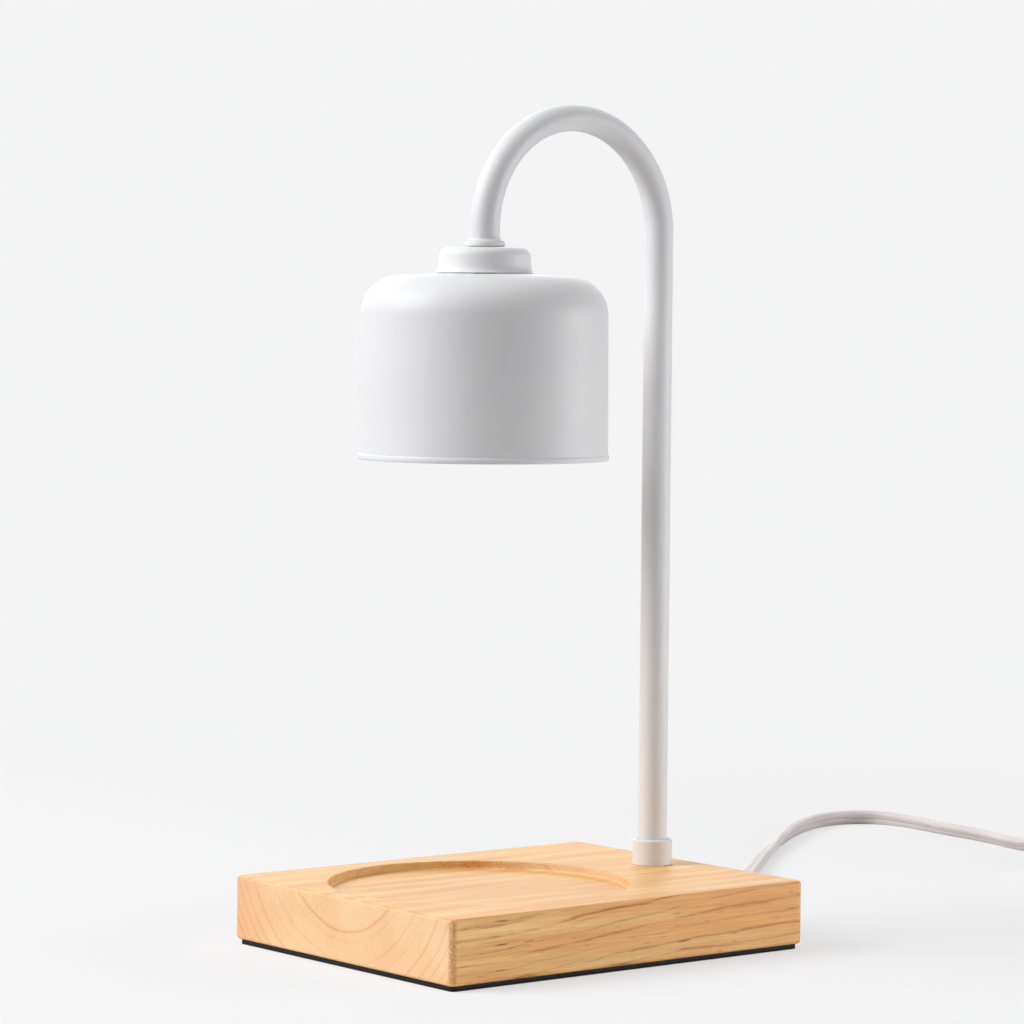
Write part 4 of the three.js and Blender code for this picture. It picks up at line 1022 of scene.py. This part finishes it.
def coil_points():
    """Round turns that wind inwards on the table, climb a layer and wind outwards again."""
    sweep = coil_turns * 2 * math.pi
    steps = round(coil_turns * coil_points_per_turn)
    points = []
    for i in range(steps + 1):
        swept = sweep * i / steps
        inwards = min(swept, sweep - swept)
        climbed = min(max((swept - (sweep - math.pi) / 2) / math.pi, 0), 1)
        radius = coil_radius - coil_pitch * inwards / (2 * math.pi)
        angle = swept - math.pi / 2
        points.append((
            coil_x + radius * math.cos(angle),
            coil_y + radius * math.sin(angle),
            coil_low + coil_layer * (1 - math.cos(math.pi * climbed)) / 2,
        ))
    return points


def make_cords():
    lead, lead_path, lead_length = cord_mesh("lead_cord", lead_points, lead_leans)
    dress(lead, "cord_jacket", "lamp", "cord_lead")
    points = link_points + coil_points() + end_points
    coiled, coiled_path, coiled_length = cord_mesh("coiled_cord", points, [(0, 0), (1, 0)])
    dress(coiled, "cord_jacket", "lamp", "cord_link", "cord_coil", "cord_end")
    return (lead, lead_path, lead_length), (coiled, coiled_path, coiled_length)


# Base

def dish_tool():
    outline = [
        (0, dish_floor),
        *arc(dish_radius - dish_cove, dish_floor + dish_cove, dish_cove, -90, 0, 6),
        *arc(dish_radius + dish_lip, base_top - dish_lip, dish_lip, 180, 90, 5),
        (dish_radius + dish_lip, base_top + overrun),
        (0, base_top + overrun),
    ]
    return revolve("dish_tool", outline, (lamp_x, 0, 0), 256, closed=False)


def wood_base():
    length, width, height = base_high - base_low
    piece = stack("wood_base", rounded_rectangle(length, width, base_corner), height, base_edge)
    shifted(piece, 0, 0, base_low.z)
    pocket_top = base_low.z + pocket_depth
    washer_low, washer_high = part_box("post_washer")
    clamp_low, clamp_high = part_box("cord_clamp")
    pocket_high_x = washer_high.x + pocket_room
    pocket_low_y = washer_low.y - pocket_room
    pocket_high_y = clamp_high.y + pocket_room
    pocket = prism(
        "pocket_tool",
        rounded_rectangle(pocket_length, pocket_high_y - pocket_low_y, pocket_corner)(0),
        base_low.z - overrun,
        pocket_top,
    )
    shifted(pocket, pocket_high_x - pocket_length / 2, (pocket_low_y + pocket_high_y) / 2, 0)
    exit_start = (pocket_high_x - overrun, cord_y, cord_exit_height)
    exit_depth = end_face - pocket_high_x + 2 * overrun
    exit_hole = rod("exit_tool", bushing_neck + 2 * fit, exit_start, exit_depth, "X")
    post_start = (post_x, 0, pocket_top - overrun)
    post_hole = rod("post_tool", tube_hole, post_start, base_top - pocket_top + 2 * overrun)
    screws = [(f"board_screw_{n}", base_low.z, board_screw_length) for n in range(1, 5)]
    screws += [(f"clamp_screw_{n}", pocket_top, clamp_screw_grip + fit) for n in range(1, 3)]
    screw_holes = []
    for name, start, depth in screws:
        foot = (*node_middle(name), start - overrun)
        screw_holes.append(rod("screw_tool", screw_diameter + 2 * fit, foot, depth + overrun))
    combine(piece, [dish_tool(), pocket, exit_hole, post_hole, *screw_holes])
    dress(piece, "wood", "lamp", "base_block", weighted=True)


def foam_pad():
    """A thin foam sheet whose cut edge is slightly rounded."""
    length, width, height = pad_high - pad_low
    outline = rounded_rectangle(length, width, pad_corner)
    piece = stack("foam_sheet", outline, height, pad_edge, 3)
    shifted(piece, 0, 0, pad_low.z)
    dress(piece, "foam_pad", "lamp", "base_pad", weighted=True)


# Tube, collar and ring

def tube_ring(place, outwards, bend_share, radius):
    """A ring of the tube. It is squeezed in the plane of the bend, most at the top."""
    across = Vector((0, 1, 0))
    squeeze = 1 - bend_flattening_share * bend_share
    ring = []
    for i in range(tube_sides):
        angle = 2 * math.pi * i / tube_sides
        aside = across * radius * math.sin(angle)
        ring.append(place + outwards * radius * squeeze * math.cos(angle) + aside)
    return ring


def bent_tube():
    stations = [(Vector((post_x, 0, tube_foot)), Vector((1, 0, 0)), 0)]
    for i in range(arch_steps + 1):
        angle = math.pi * i / arch_steps
        outwards = Vector((math.cos(angle), 0, math.sin(angle)))
        centre = Vector((bend_x, 0, spring_height)) + outwards * bend_radius
        stations.append((centre, outwards, math.sin(angle) ** 2))
    stations.append((Vector((lamp_x, 0, tube_end)), Vector((-1, 0, 0)), 0))
    radius = tube_diameter / 2
    outer = [tube_ring(*station, radius) for station in stations]
    inner = [tube_ring(*station, radius - tube_wall) for station in stations]
    piece = loft("bent_tube", outer + inner[::-1], wrap=True)
    dress(piece, "white_paint", "lamp", "arch_tube")


def foot_collar():
    inner, outer = tube_hole / 2, half_width(collar_low, collar_high)
    height = collar_high.z - collar_low.z
    outline = [
        (inner, 0),
        *arc(outer - skin, skin, skin, -90, 0, 2),
        (outer, height - collar_chamfer),
        *arc(outer - collar_chamfer, height - collar_chamfer, collar_chamfer, 0, 90, 6),
        *arc(inner + 2 * skin, height - 2 * skin, 2 * skin, 90, 180, 3),
    ]
    piece = revolve("foot_collar", outline, (post_x, 0, collar_low.z), 96)
    dress(piece, "white_paint", "lamp", "post_collar", weighted=True)


def arm_ring():
    inner, outer = tube_hole / 2, half_width(ring_low, ring_high)
    outline = [
        (inner, 0),
        *arc(outer - ring_edge, ring_edge, ring_edge, -90, 0, 6),
        *arc(outer - ring_edge, ring_height - ring_edge, ring_edge, 0, 90, 6),
        *arc(inner + ring_fillet + skin, ring_height + ring_fillet, ring_fillet, -90, -180, 8),
        (inner, ring_height + ring_fillet),
    ]
    piece = revolve("arm_ring", outline, (lamp_x, 0, ring_low.z), 96)
    dress(piece, "white_paint", "lamp", "arm_end_ring")


# Cap and shade

def cap_shell():
    height = cap_high.z - cap_low.z
    top, lip = cap_top_diameter / 2, half_width(cap_low, cap_high)
    shoulder = height - cap_corner
    side = []
    for share in even_shares(16)[1:]:
        flare = (1 - cap_flare_share) * share + cap_flare_share * share**cap_flare_power
        side.append((top + (lip - top) * flare, shoulder + (cap_lip_edge - shoulder) * share))
    inner_side = [(radius - sheet_wall, z) for radius, z in side[::-1]]
    outline = [
        (nipple_hole / 2, height),
        *arc(top - cap_corner, shoulder, cap_corner, 90, 0, 12),
        *side,
        (lip - cap_lip_edge, 0),
        (lip - sheet_wall, 0),
        *inner_side,
        *arc(top - cap_corner, shoulder, cap_corner - sheet_wall, 0, 90, 8),
        (nipple_hole / 2, height - sheet_wall),
    ]
    piece = revolve("cap_shell", outline, (lamp_x, 0, cap_low.z), 128)
    dress(piece, "white_paint", "lamp", "shade_cap", weighted=True)


def lamp_shade():
    height = shade_high.z - shade_low.z
    rim = half_width(shade_low, shade_high) - bead_proud
    side = rim - shade_draft
    flat = half_width(cap_low, cap_high)
    corner_x = side - shade_corner
    shoulder = height - shade_crown
    crown = []
    for share in even_shares(10)[:-1]:
        crown.append((flat + (corner_x - flat) * share, height - shade_crown * eased(share)))
    bead = []
    for degrees in range(90, -91, -15):
        angle = math.radians(degrees)
        bead.append((rim + bead_proud * math.cos(angle), bead_height / 2 * (1 + math.sin(angle))))
    outline = [
        (nipple_hole / 2, height),
        *crown,
        *arc(corner_x, shoulder - shade_corner, shade_corner, 90, 0, 24),
        *bead,
        (rim - 2 * sheet_wall + skin, 0),
        (rim - 2 * sheet_wall, skin),
        (rim - 2 * sheet_wall, bead_height - 2 * skin),
        (rim - sheet_wall - skin, bead_height),
        *arc(corner_x, shoulder - shade_corner, shade_corner - sheet_wall, 0, 90, 18),
        *[(radius, z - sheet_wall) for radius, z in crown[::-1]],
        (nipple_hole / 2, height - sheet_wall),
    ]
    piece = revolve("lamp_shade", outline, (lamp_x, 0, shade_low.z), shade_sides)
    dress(piece, "white_paint", "lamp", "shade", weighted=True)


# Bulb

def bell(inset):
    """The reflector's side from its neck to its rim."""
    neck = bulb_neck_diameter / 2 - inset
    rim = half_width(reflector_low, reflector_high) - inset
    top, bottom = reflector_high.z, reflector_low.z + reflector_rim
    points = []
    for share in even_shares(24):
        points.append((neck + (rim - neck) * share, top + (bottom - top) * share * share))
    return points


def pressed_reflector():
    rim, low = half_width(reflector_low, reflector_high), reflector_low.z
    outline = [
        *bell(0),
        *arc(rim - 2 * skin, low + 2 * skin, 2 * skin, 0, -90, 3),
        (rim - reflector_wall, low),
        *bell(reflector_wall - skin)[::-1],
    ]
    piece = revolve("pressed_reflector", outline, (lamp_x, 0, 0), 128)
    dress(piece, "mirror_glass", "bulb", "bulb_reflector")


def front_lens():
    radius = half_width(glass_low, glass_high)
    low, top = reflector_low.z + fit, reflector_low.z + front_glass_thickness
    dome = []
    for share in even_shares(16):
        height = low + front_glass_crown * (share**2 - 1) + front_glass_crown / 2
        dome.append((radius * share, height))
    outline = [*dome, (radius, top), (0, top)]
    piece = revolve("front_lens", outline, (lamp_x, 0, 0), 128, closed=False)
    dress(piece, "clear_glass", "bulb", "bulb_front_glass")


def ceramic_base():
    neck, collar = bulb_neck_diameter / 2, bulb_top_diameter / 2
    shoulder = bulb_top - 2 * bulb_collar
    foot = bulb_top - bulb_base_height
    outline = [
        (0, bulb_top),
        *arc(collar - bulb_collar / 2, bulb_top - bulb_collar / 2, bulb_collar / 2, 90, 0, 6),
        (collar, bulb_top - bulb_collar),
        *arc(neck - 2 * skin, shoulder - 2 * skin, 2 * skin, 60, 0, 3),
        (neck, foot + reflector_overlap),
        (neck - reflector_wall, foot + reflector_overlap),
        (neck - reflector_wall, foot),
        (0, foot),
    ]
    piece = revolve("ceramic_base", outline, (lamp_x, 0, 0), 96, closed=False)
    holes = []
    for side in (-1, 1):
        start = (lamp_x + side * pin_spacing / 2, 0, bulb_top - pin_root)
        holes.append(rod("pin_tool", pin_hole, start, pin_root + overrun))
    combine(piece, holes)
    dress(piece, "ceramic", "bulb", "bulb_base", weighted=True)


# Bushing

def ribbed_bushing():
    """A flange, a barb behind the wall and a taper with ring grooves, bored for the flat cord."""
    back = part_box("cord_bushing")[0].x
    start = end_face + skin
    face = start + bushing_flange_thickness
    end = face + bushing_taper
    flange, neck, tip = bushing_flange / 2, bushing_neck / 2, bushing_tip / 2
    flange_edge = bushing_flange_thickness / 2
    outline = [
        (0, back),
        (neck, back),
        (bushing_barb / 2, back + bushing_flange_thickness - skin),
        (neck, back + bushing_flange_thickness),
        (neck, start),
        (flange, start),
        *arc(flange - flange_edge, face - flange_edge, flange_edge, 0, 90, 6),
        (neck + skin, face),
    ]
    for i in range(bushing_grooves):
        near = face + bushing_lead_in + i * bushing_groove_pitch
        far = near + bushing_groove_width
        steps = ((near - skin, 0), (near, skin), (near + skin, bushing_groove_depth))
        steps += ((far - skin, bushing_groove_depth), (far, skin), (far + skin, 0))
        for x, depth in steps:
            outline.append((neck + (tip - neck) * (x - face) / bushing_taper - depth, x))
    outline += arc(tip - bushing_tip_edge, end - bushing_tip_edge, bushing_tip_edge, 0, 90, 4)
    outline.append((0, end))
    piece = revolve("ribbed_bushing", outline, (0, cord_y, cord_exit_height), 72, "X", closed=False)
    height, thickness = cord_width + 2 * fit, cord_thickness + 2 * fit
    bore_shape = rounded_rectangle(height, thickness, thickness / 2 - skin)(0)
    bore = prism("bore_tool", bore_shape, 0, end - back + 2 * overrun)
    along = Matrix.Rotation(math.pi / 2, 4, "Y")
    moved(bore, Matrix.Translation((back - overrun, cord_y, cord_exit_height)) @ along)
    combine(piece, [bore])
    return dress(piece, "white_plastic", "lamp", "cord_bushing", weighted=True)


# Dimmer, built along X and turned to lie along the cord

def dimmer_outline(inset):
    half = dimmer_length / 2 - inset
    end, middle = dimmer_end_width / 2 - inset, dimmer_width / 2 - inset
    points = []
    for sign in (1, -1):
        for i in range(dimmer_side_points):
            share = 2 * i / (dimmer_side_points - 1) - 1
            bulge = 1 - abs(share) ** dimmer_bulge_power
            points.append((sign * share * half, -sign * (end + (middle - end) * bulge)))
    return points


def half_shell(name):
    """One half of the dimmer's housing, open at the split."""
    size = dimmer_length
    split = dimmer_split - skin / 2
    shell = stack(name, dimmer_outline, dimmer_height, dimmer_edge)
    cavity = prism("cavity_tool", dimmer_outline(dimmer_wall), dimmer_wall, dimmer_height)
    upper = box("upper_tool", (-size, -size, split), (size, size, size))
    combine(shell, [cavity, upper])
    walls = []
    for side in (-1, 1):
        outer = side * (dimmer_length / 2 - 2 * skin)
        inner = side * (dimmer_length / 2 - dimmer_entry)
        reach = dimmer_end_width / 2 - dimmer_wall
        low, high = min(inner, outer), max(inner, outer)
        walls.append(box("wall_tool", (low, -reach, dimmer_wall), (high, reach, split - 2 * skin)))
    combine(shell, walls, "UNION")
    slot_depth = cord_width / 2 + fit
    slot_reach = cord_thickness / 2 + fit
    slot = box(
        "slot_tool",
        (-size, -slot_reach, dimmer_split - slot_depth),
        (size, slot_reach, dimmer_split + overrun),
    )
    space_low = dimmer_split - wheel_thickness / 2 - wheel_gap
    space_diameter = wheel_diameter + 2 * wheel_side_gap
    space = rod("space_tool", space_diameter, (0, 0, space_low), wheel_thickness, sides=96)
    return combine(shell, [slot, space])


def to_dimmer_place():
    return Matrix.Translation((dimmer_x, dimmer_y, 0)) @ Matrix.Rotation(math.pi / 2, 4, "Z")


def lower_housing():
    """The half with the screw holes."""
    piece = half_shell("lower_housing")
    head_depth = dimmer_head_height + skin + overrun
    holes = []
    for side in (1, -1):
        start = (side * dimmer_screw_x, side * dimmer_screw_y, -overrun)
        holes.append(rod("hole_tool", dimmer_screw_diameter + 2 * fit, start, dimmer_height))
        holes.append(rod("head_tool", dimmer_head_diameter + 2 * fit, start, head_depth))
    combine(piece, holes)
    moved(piece, to_dimmer_place())
    return dress(piece, "white_plastic", "lamp", "dimmer_lower_shell", weighted=True)


def upper_housing():
    """The half with the row of growing marks beside the wheel."""
    piece = half_shell("upper_housing")
    marks = []
    for share in even_shares(mark_count - 1):
        angle = mark_sweep * (share - 0.5)
        size = smallest_mark + (largest_mark - smallest_mark) * share
        place = (mark_radius * math.cos(angle), mark_radius * math.sin(angle), -overrun)
        marks.append(rod("mark_tool", size, place, overrun + mark_depth, sides=24))
    combine(piece, marks)
    flip = Matrix.Translation((0, 0, dimmer_height)) @ Matrix.Rotation(math.pi, 4, "X")
    moved(piece, to_dimmer_place() @ flip)
    return dress(piece, "white_plastic", "lamp", "dimmer_upper_shell", weighted=True)


def thumb_wheel():
    points_per_notch = 10
    count = wheel_notches * points_per_notch
    radius = wheel_diameter / 2

    def ring(inset, z):
        points = []
        for i in range(count):
            angle = 2 * math.pi * i / count
            wave = (0.5 + 0.5 * math.cos(wheel_notches * angle)) ** 0.5
            reach = radius - inset - wheel_notch_depth * (1 - wave)
            points.append((reach * math.cos(angle), reach * math.sin(angle), z))
        return points

    low = dimmer_split - wheel_thickness / 2
    high = low + wheel_thickness
    rings = [
        ring(wheel_edge, low),
        ring(wheel_round, low + wheel_round),
        ring(0, low + wheel_edge),
        ring(0, high - wheel_edge),
        ring(wheel_round, high - wheel_round),
        ring(wheel_edge, high),
    ]
    piece = loft("thumb_wheel", rings)
    start = (0, 0, low - overrun)
    hole = rod("shaft_tool", shaft_diameter + 2 * fit, start, wheel_thickness + 2 * overrun)
    combine(piece, [hole])
    moved(piece, to_dimmer_place())
    return dress(piece, "white_plastic", "dimmer_knob", "dimmer_wheel", weighted=True)


# Tie and plug

def tie_band():
    """A flat band round all turns of the coil, with its lock outside."""
    inner = coil_radius - coil_pitch * coil_turns / 2 - cord_thickness / 2 - fit
    outer = coil_radius + cord_thickness / 2 + fit
    low = coil_low - cord_width / 2 - fit
    high = coil_high + cord_width / 2 + fit
    outline = rounded_rectangle(outer - inner, high - low, tie_corner, 6)
    middle_x, middle_z = (inner + outer) / 2, (low + high) / 2
    half = tie_width / 2
    rings = []
    for inset, y in ((0, -half), (-tie_thickness, -half), (-tie_thickness, half), (0, half)):
        rings.append([(middle_x + u, y, middle_z + v) for u, v in outline(inset)])
    band = loft("tie_band", rings, wrap=True)
    head_reach = half + tie_thickness
    lock_outline = rounded_rectangle(tie_head, 2 * head_reach, tie_thickness)
    lock = stack("tie_lock", lock_outline, tie_head, 2 * skin)
    shifted(lock, outer + tie_head / 2 + skin, 0, middle_z - tie_head / 2)
    combine(band, [lock], "UNION")
    moved(band, Matrix.Translation((coil_x, coil_y, 0)) @ Matrix.Rotation(tie_angle, 4, "Z"))
    return dress(band, "black_board", "lamp", "coil_tie", weighted=True)


def plug_section(y):
    """Half the height and half the thickness of the plug at a distance from its cord end."""
    total = plug_neck_length + plug_length
    grip_start = plug_neck_length * plug_neck_share
    grip_full = plug_neck_length + plug_length * plug_shoulder_share
    share = min(max((y - grip_start) / (grip_full - grip_start), 0), 1)
    swell = eased(share)
    height = (plug_neck_width + (plug_width - plug_neck_width) * swell) / 2
    thickness = (plug_neck_thickness + (plug_thickness - plug_neck_thickness) * swell) / 2
    for edge, start in ((plug_end_edge, total), (plug_end_edge / 2, 0)):
        inside = min(abs(start - y) / edge, 1)
        drawn_in = edge * (1 - math.sqrt(1 - (1 - inside) ** 2))
        height -= drawn_in
        thickness -= drawn_in
    return height, thickness


def plug_groove_tools():
    """Blocks that cut the finger grooves into both flat faces of the plug."""
    total = plug_neck_length + plug_length
    middle = plug_y + (plug_neck_length + plug_length * plug_shoulder_share + total) / 2
    tools = []
    for i in range(plug_grooves):
        y = middle + (i - (plug_grooves - 1) / 2) * plug_groove_pitch
        for side in (-1, 1):
            x = plug_x + side * plug_thickness / 2
            tools.append(box(
                "groove_tool",
                (x - plug_groove_depth, y - plug_groove_width / 2, plug_z - plug_groove_length / 2),
                (x + plug_groove_depth, y + plug_groove_width / 2, plug_z + plug_groove_length / 2),
            ))
    return tools


def square_reach(angle):
    """How far the plug's squarish section reaches at an angle, for half sizes of 1."""
    power = plug_square_power
    return (abs(math.cos(angle)) ** power + abs(math.sin(angle)) ** power) ** (-1 / power)


def plug_grip():
    total = plug_neck_length + plug_length
    steps = 150
    sides = 72
    rings = []
    for i in range(steps + 1):
        y = total * (1 - math.cos(math.pi * i / steps)) / 2
        height, thickness = plug_section(y)
        ring = []
        for j in range(sides):
            angle = 2 * math.pi * j / sides
            reach = square_reach(angle)
            ring.append((
                plug_x + thickness * reach * math.cos(angle),
                plug_y + y,
                plug_z + height * reach * math.sin(angle),
            ))
        rings.append(ring)
    piece = loft("plug_grip", rings)
    sockets = []
    for side in (-1, 1):
        z = plug_z + side * blade_spacing / 2
        reach_z = blade_thickness / 2 + skin
        reach_x = wide_blade_width / 2 + fit
        sockets.append(box(
            "socket_tool",
            (plug_x - reach_x, plug_y + total - blade_root, z - reach_z),
            (plug_x + reach_x, plug_y + total + overrun, z + reach_z),
        ))
    combine(piece, [*sockets, *plug_groove_tools()])
    return dress(piece, "white_plastic", "lamp", "plug_body", weighted=True)


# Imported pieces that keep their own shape

def repaint_kept_nodes():
    slots = {
        "bottom_board": "black_board",
        "lamp_holder": "ceramic",
        "nipple": "brass",
        "lock_nut": "brass",
        "bulb_capsule": "clear_glass",
        "cord_tail": "cord_jacket",
        "cord_clamp": "white_plastic",
        "dimmer_board": "circuit_board",
    }
    prefixes = {
        "inner_wire": "white_plastic",
        "crimp_connector": "white_plastic",
        "plug_blade": "brass",
    }
    for name, node in frame["nodes"].items():
        if node.hide_render:
            continue
        start = next((prefix for prefix in prefixes if name.startswith(prefix)), None)
        slot = slots.get(name) or prefixes.get(start) or "steel"
        for material_slot in node.material_slots:
            material_slot.material = materials[slot]


# Stage and light

def backdrop_share(g):
    """1 for rays that look at the background, directly or through glass."""
    path = g.node("ShaderNodeLightPath").outputs
    return g.math("ADD", path["Is Camera Ray"], path["Is Transmission Ray"], clamp=True)


def make_floor():
    """A pale disc that fades into the background, so that no edge shows."""
    sides = 96
    mesh = bmesh.new()
    bmesh.ops.create_circle(mesh, cap_ends=True, radius=floor_reach, segments=sides)
    floor = object_from("floor", mesh)
    g = Graph("floor")
    reach = g.node("ShaderNodeVectorMath", (g.place,), operation="LENGTH").outputs["Value"]
    seen = backdrop_share(g)
    beyond = g.levels(reach, table_reach, room_reach)
    bounced = g.mix(beyond, linear(table_white), linear(room_grey))
    g.set(
        Base_Color=g.mix(seen, bounced, linear(floor_seen)),
        Roughness=0.9,
        Specular_IOR_Level=0.0,
    )
    glow = g.node("ShaderNodeEmission", (linear(backdrop_white),)).outputs[0]
    glow_share = g.levels(reach, floor_lit_reach, floor_solid_reach, floor_glow_share, 1)
    lit = g.blended(g.math("MULTIPLY", seen, glow_share), g.shader.outputs[0], glow)
    clear = g.node("ShaderNodeBsdfTransparent").outputs[0]
    faded = g.blended(g.levels(reach, floor_solid_reach, floor_reach), lit, clear)
    g.feed(g.output.inputs["Surface"], faded)
    floor.data.materials.append(g.material)


def make_world():
    """A white backdrop behind the lamp, and a dim room on the camera's side."""
    world = bpy.data.worlds.new("world")
    bpy.context.scene.world = world
    world.use_nodes = True
    g = Graph("world", world.node_tree)
    ray = g.node("ShaderNodeTexCoord").outputs["Generated"]
    ahead = (math.cos(camera_yaw), math.sin(camera_yaw), 0)
    facing = g.node("ShaderNodeVectorMath", (ray, ahead), operation="DOT_PRODUCT").outputs["Value"]
    behind = g.levels(facing, *backdrop_facing, front_gloss, 1.0)
    path = g.node("ShaderNodeLightPath").outputs
    mirrored = g.math("MULTIPLY", path["Is Glossy Ray"], behind)
    seen = g.math("ADD", backdrop_share(g), mirrored, clamp=True)
    ambient = g.node("ShaderNodeBackground", ((1, 1, 1, 1), ambient_strength)).outputs[0]
    backdrop = g.node("ShaderNodeBackground", (linear(backdrop_white),)).outputs[0]
    g.feed(g.tree.nodes["World Output"].inputs["Surface"], g.blended(seen, ambient, backdrop))


def area_light(name, bearing, elevation, distance, width, height, power):
    """A soft box that faces the lamp. Bearing 0 is the camera's side and 90 its right."""
    towards_camera = camera_yaw + math.pi
    angle = towards_camera + math.radians(bearing)
    rise = math.radians(elevation)
    level = math.cos(rise)
    away = Vector((math.cos(angle) * level, math.sin(angle) * level, math.sin(rise)))
    data = bpy.data.lights.new(name, "AREA")
    data.shape = "RECTANGLE"
    data.size = width
    data.size_y = height
    data.energy = power
    light = bpy.data.objects.new(name, data)
    light.location = Vector((0, 0, light_aim_height)) + away * distance
    light.rotation_euler = (-away).to_track_quat("-Z", "Y").to_euler()
    light.visible_camera = False
    bpy.context.scene.collection.objects.link(light)


make_camera()
cords = make_cords()
wood_base()
foam_pad()
bent_tube()
foot_collar()
arm_ring()
cap_shell()
lamp_shade()
pressed_reflector()
front_lens()
ceramic_base()
bushing = ribbed_bushing()
housing = [lower_housing(), upper_housing()]
wheel = thumb_wheel()
tie = tie_band()
plug = plug_grip()
repaint_kept_nodes()

make_floor()
make_world()
for name, settings in light_boxes.items():
    area_light(name, *settings)
bpy.context.scene.view_settings.view_transform = "Standard"
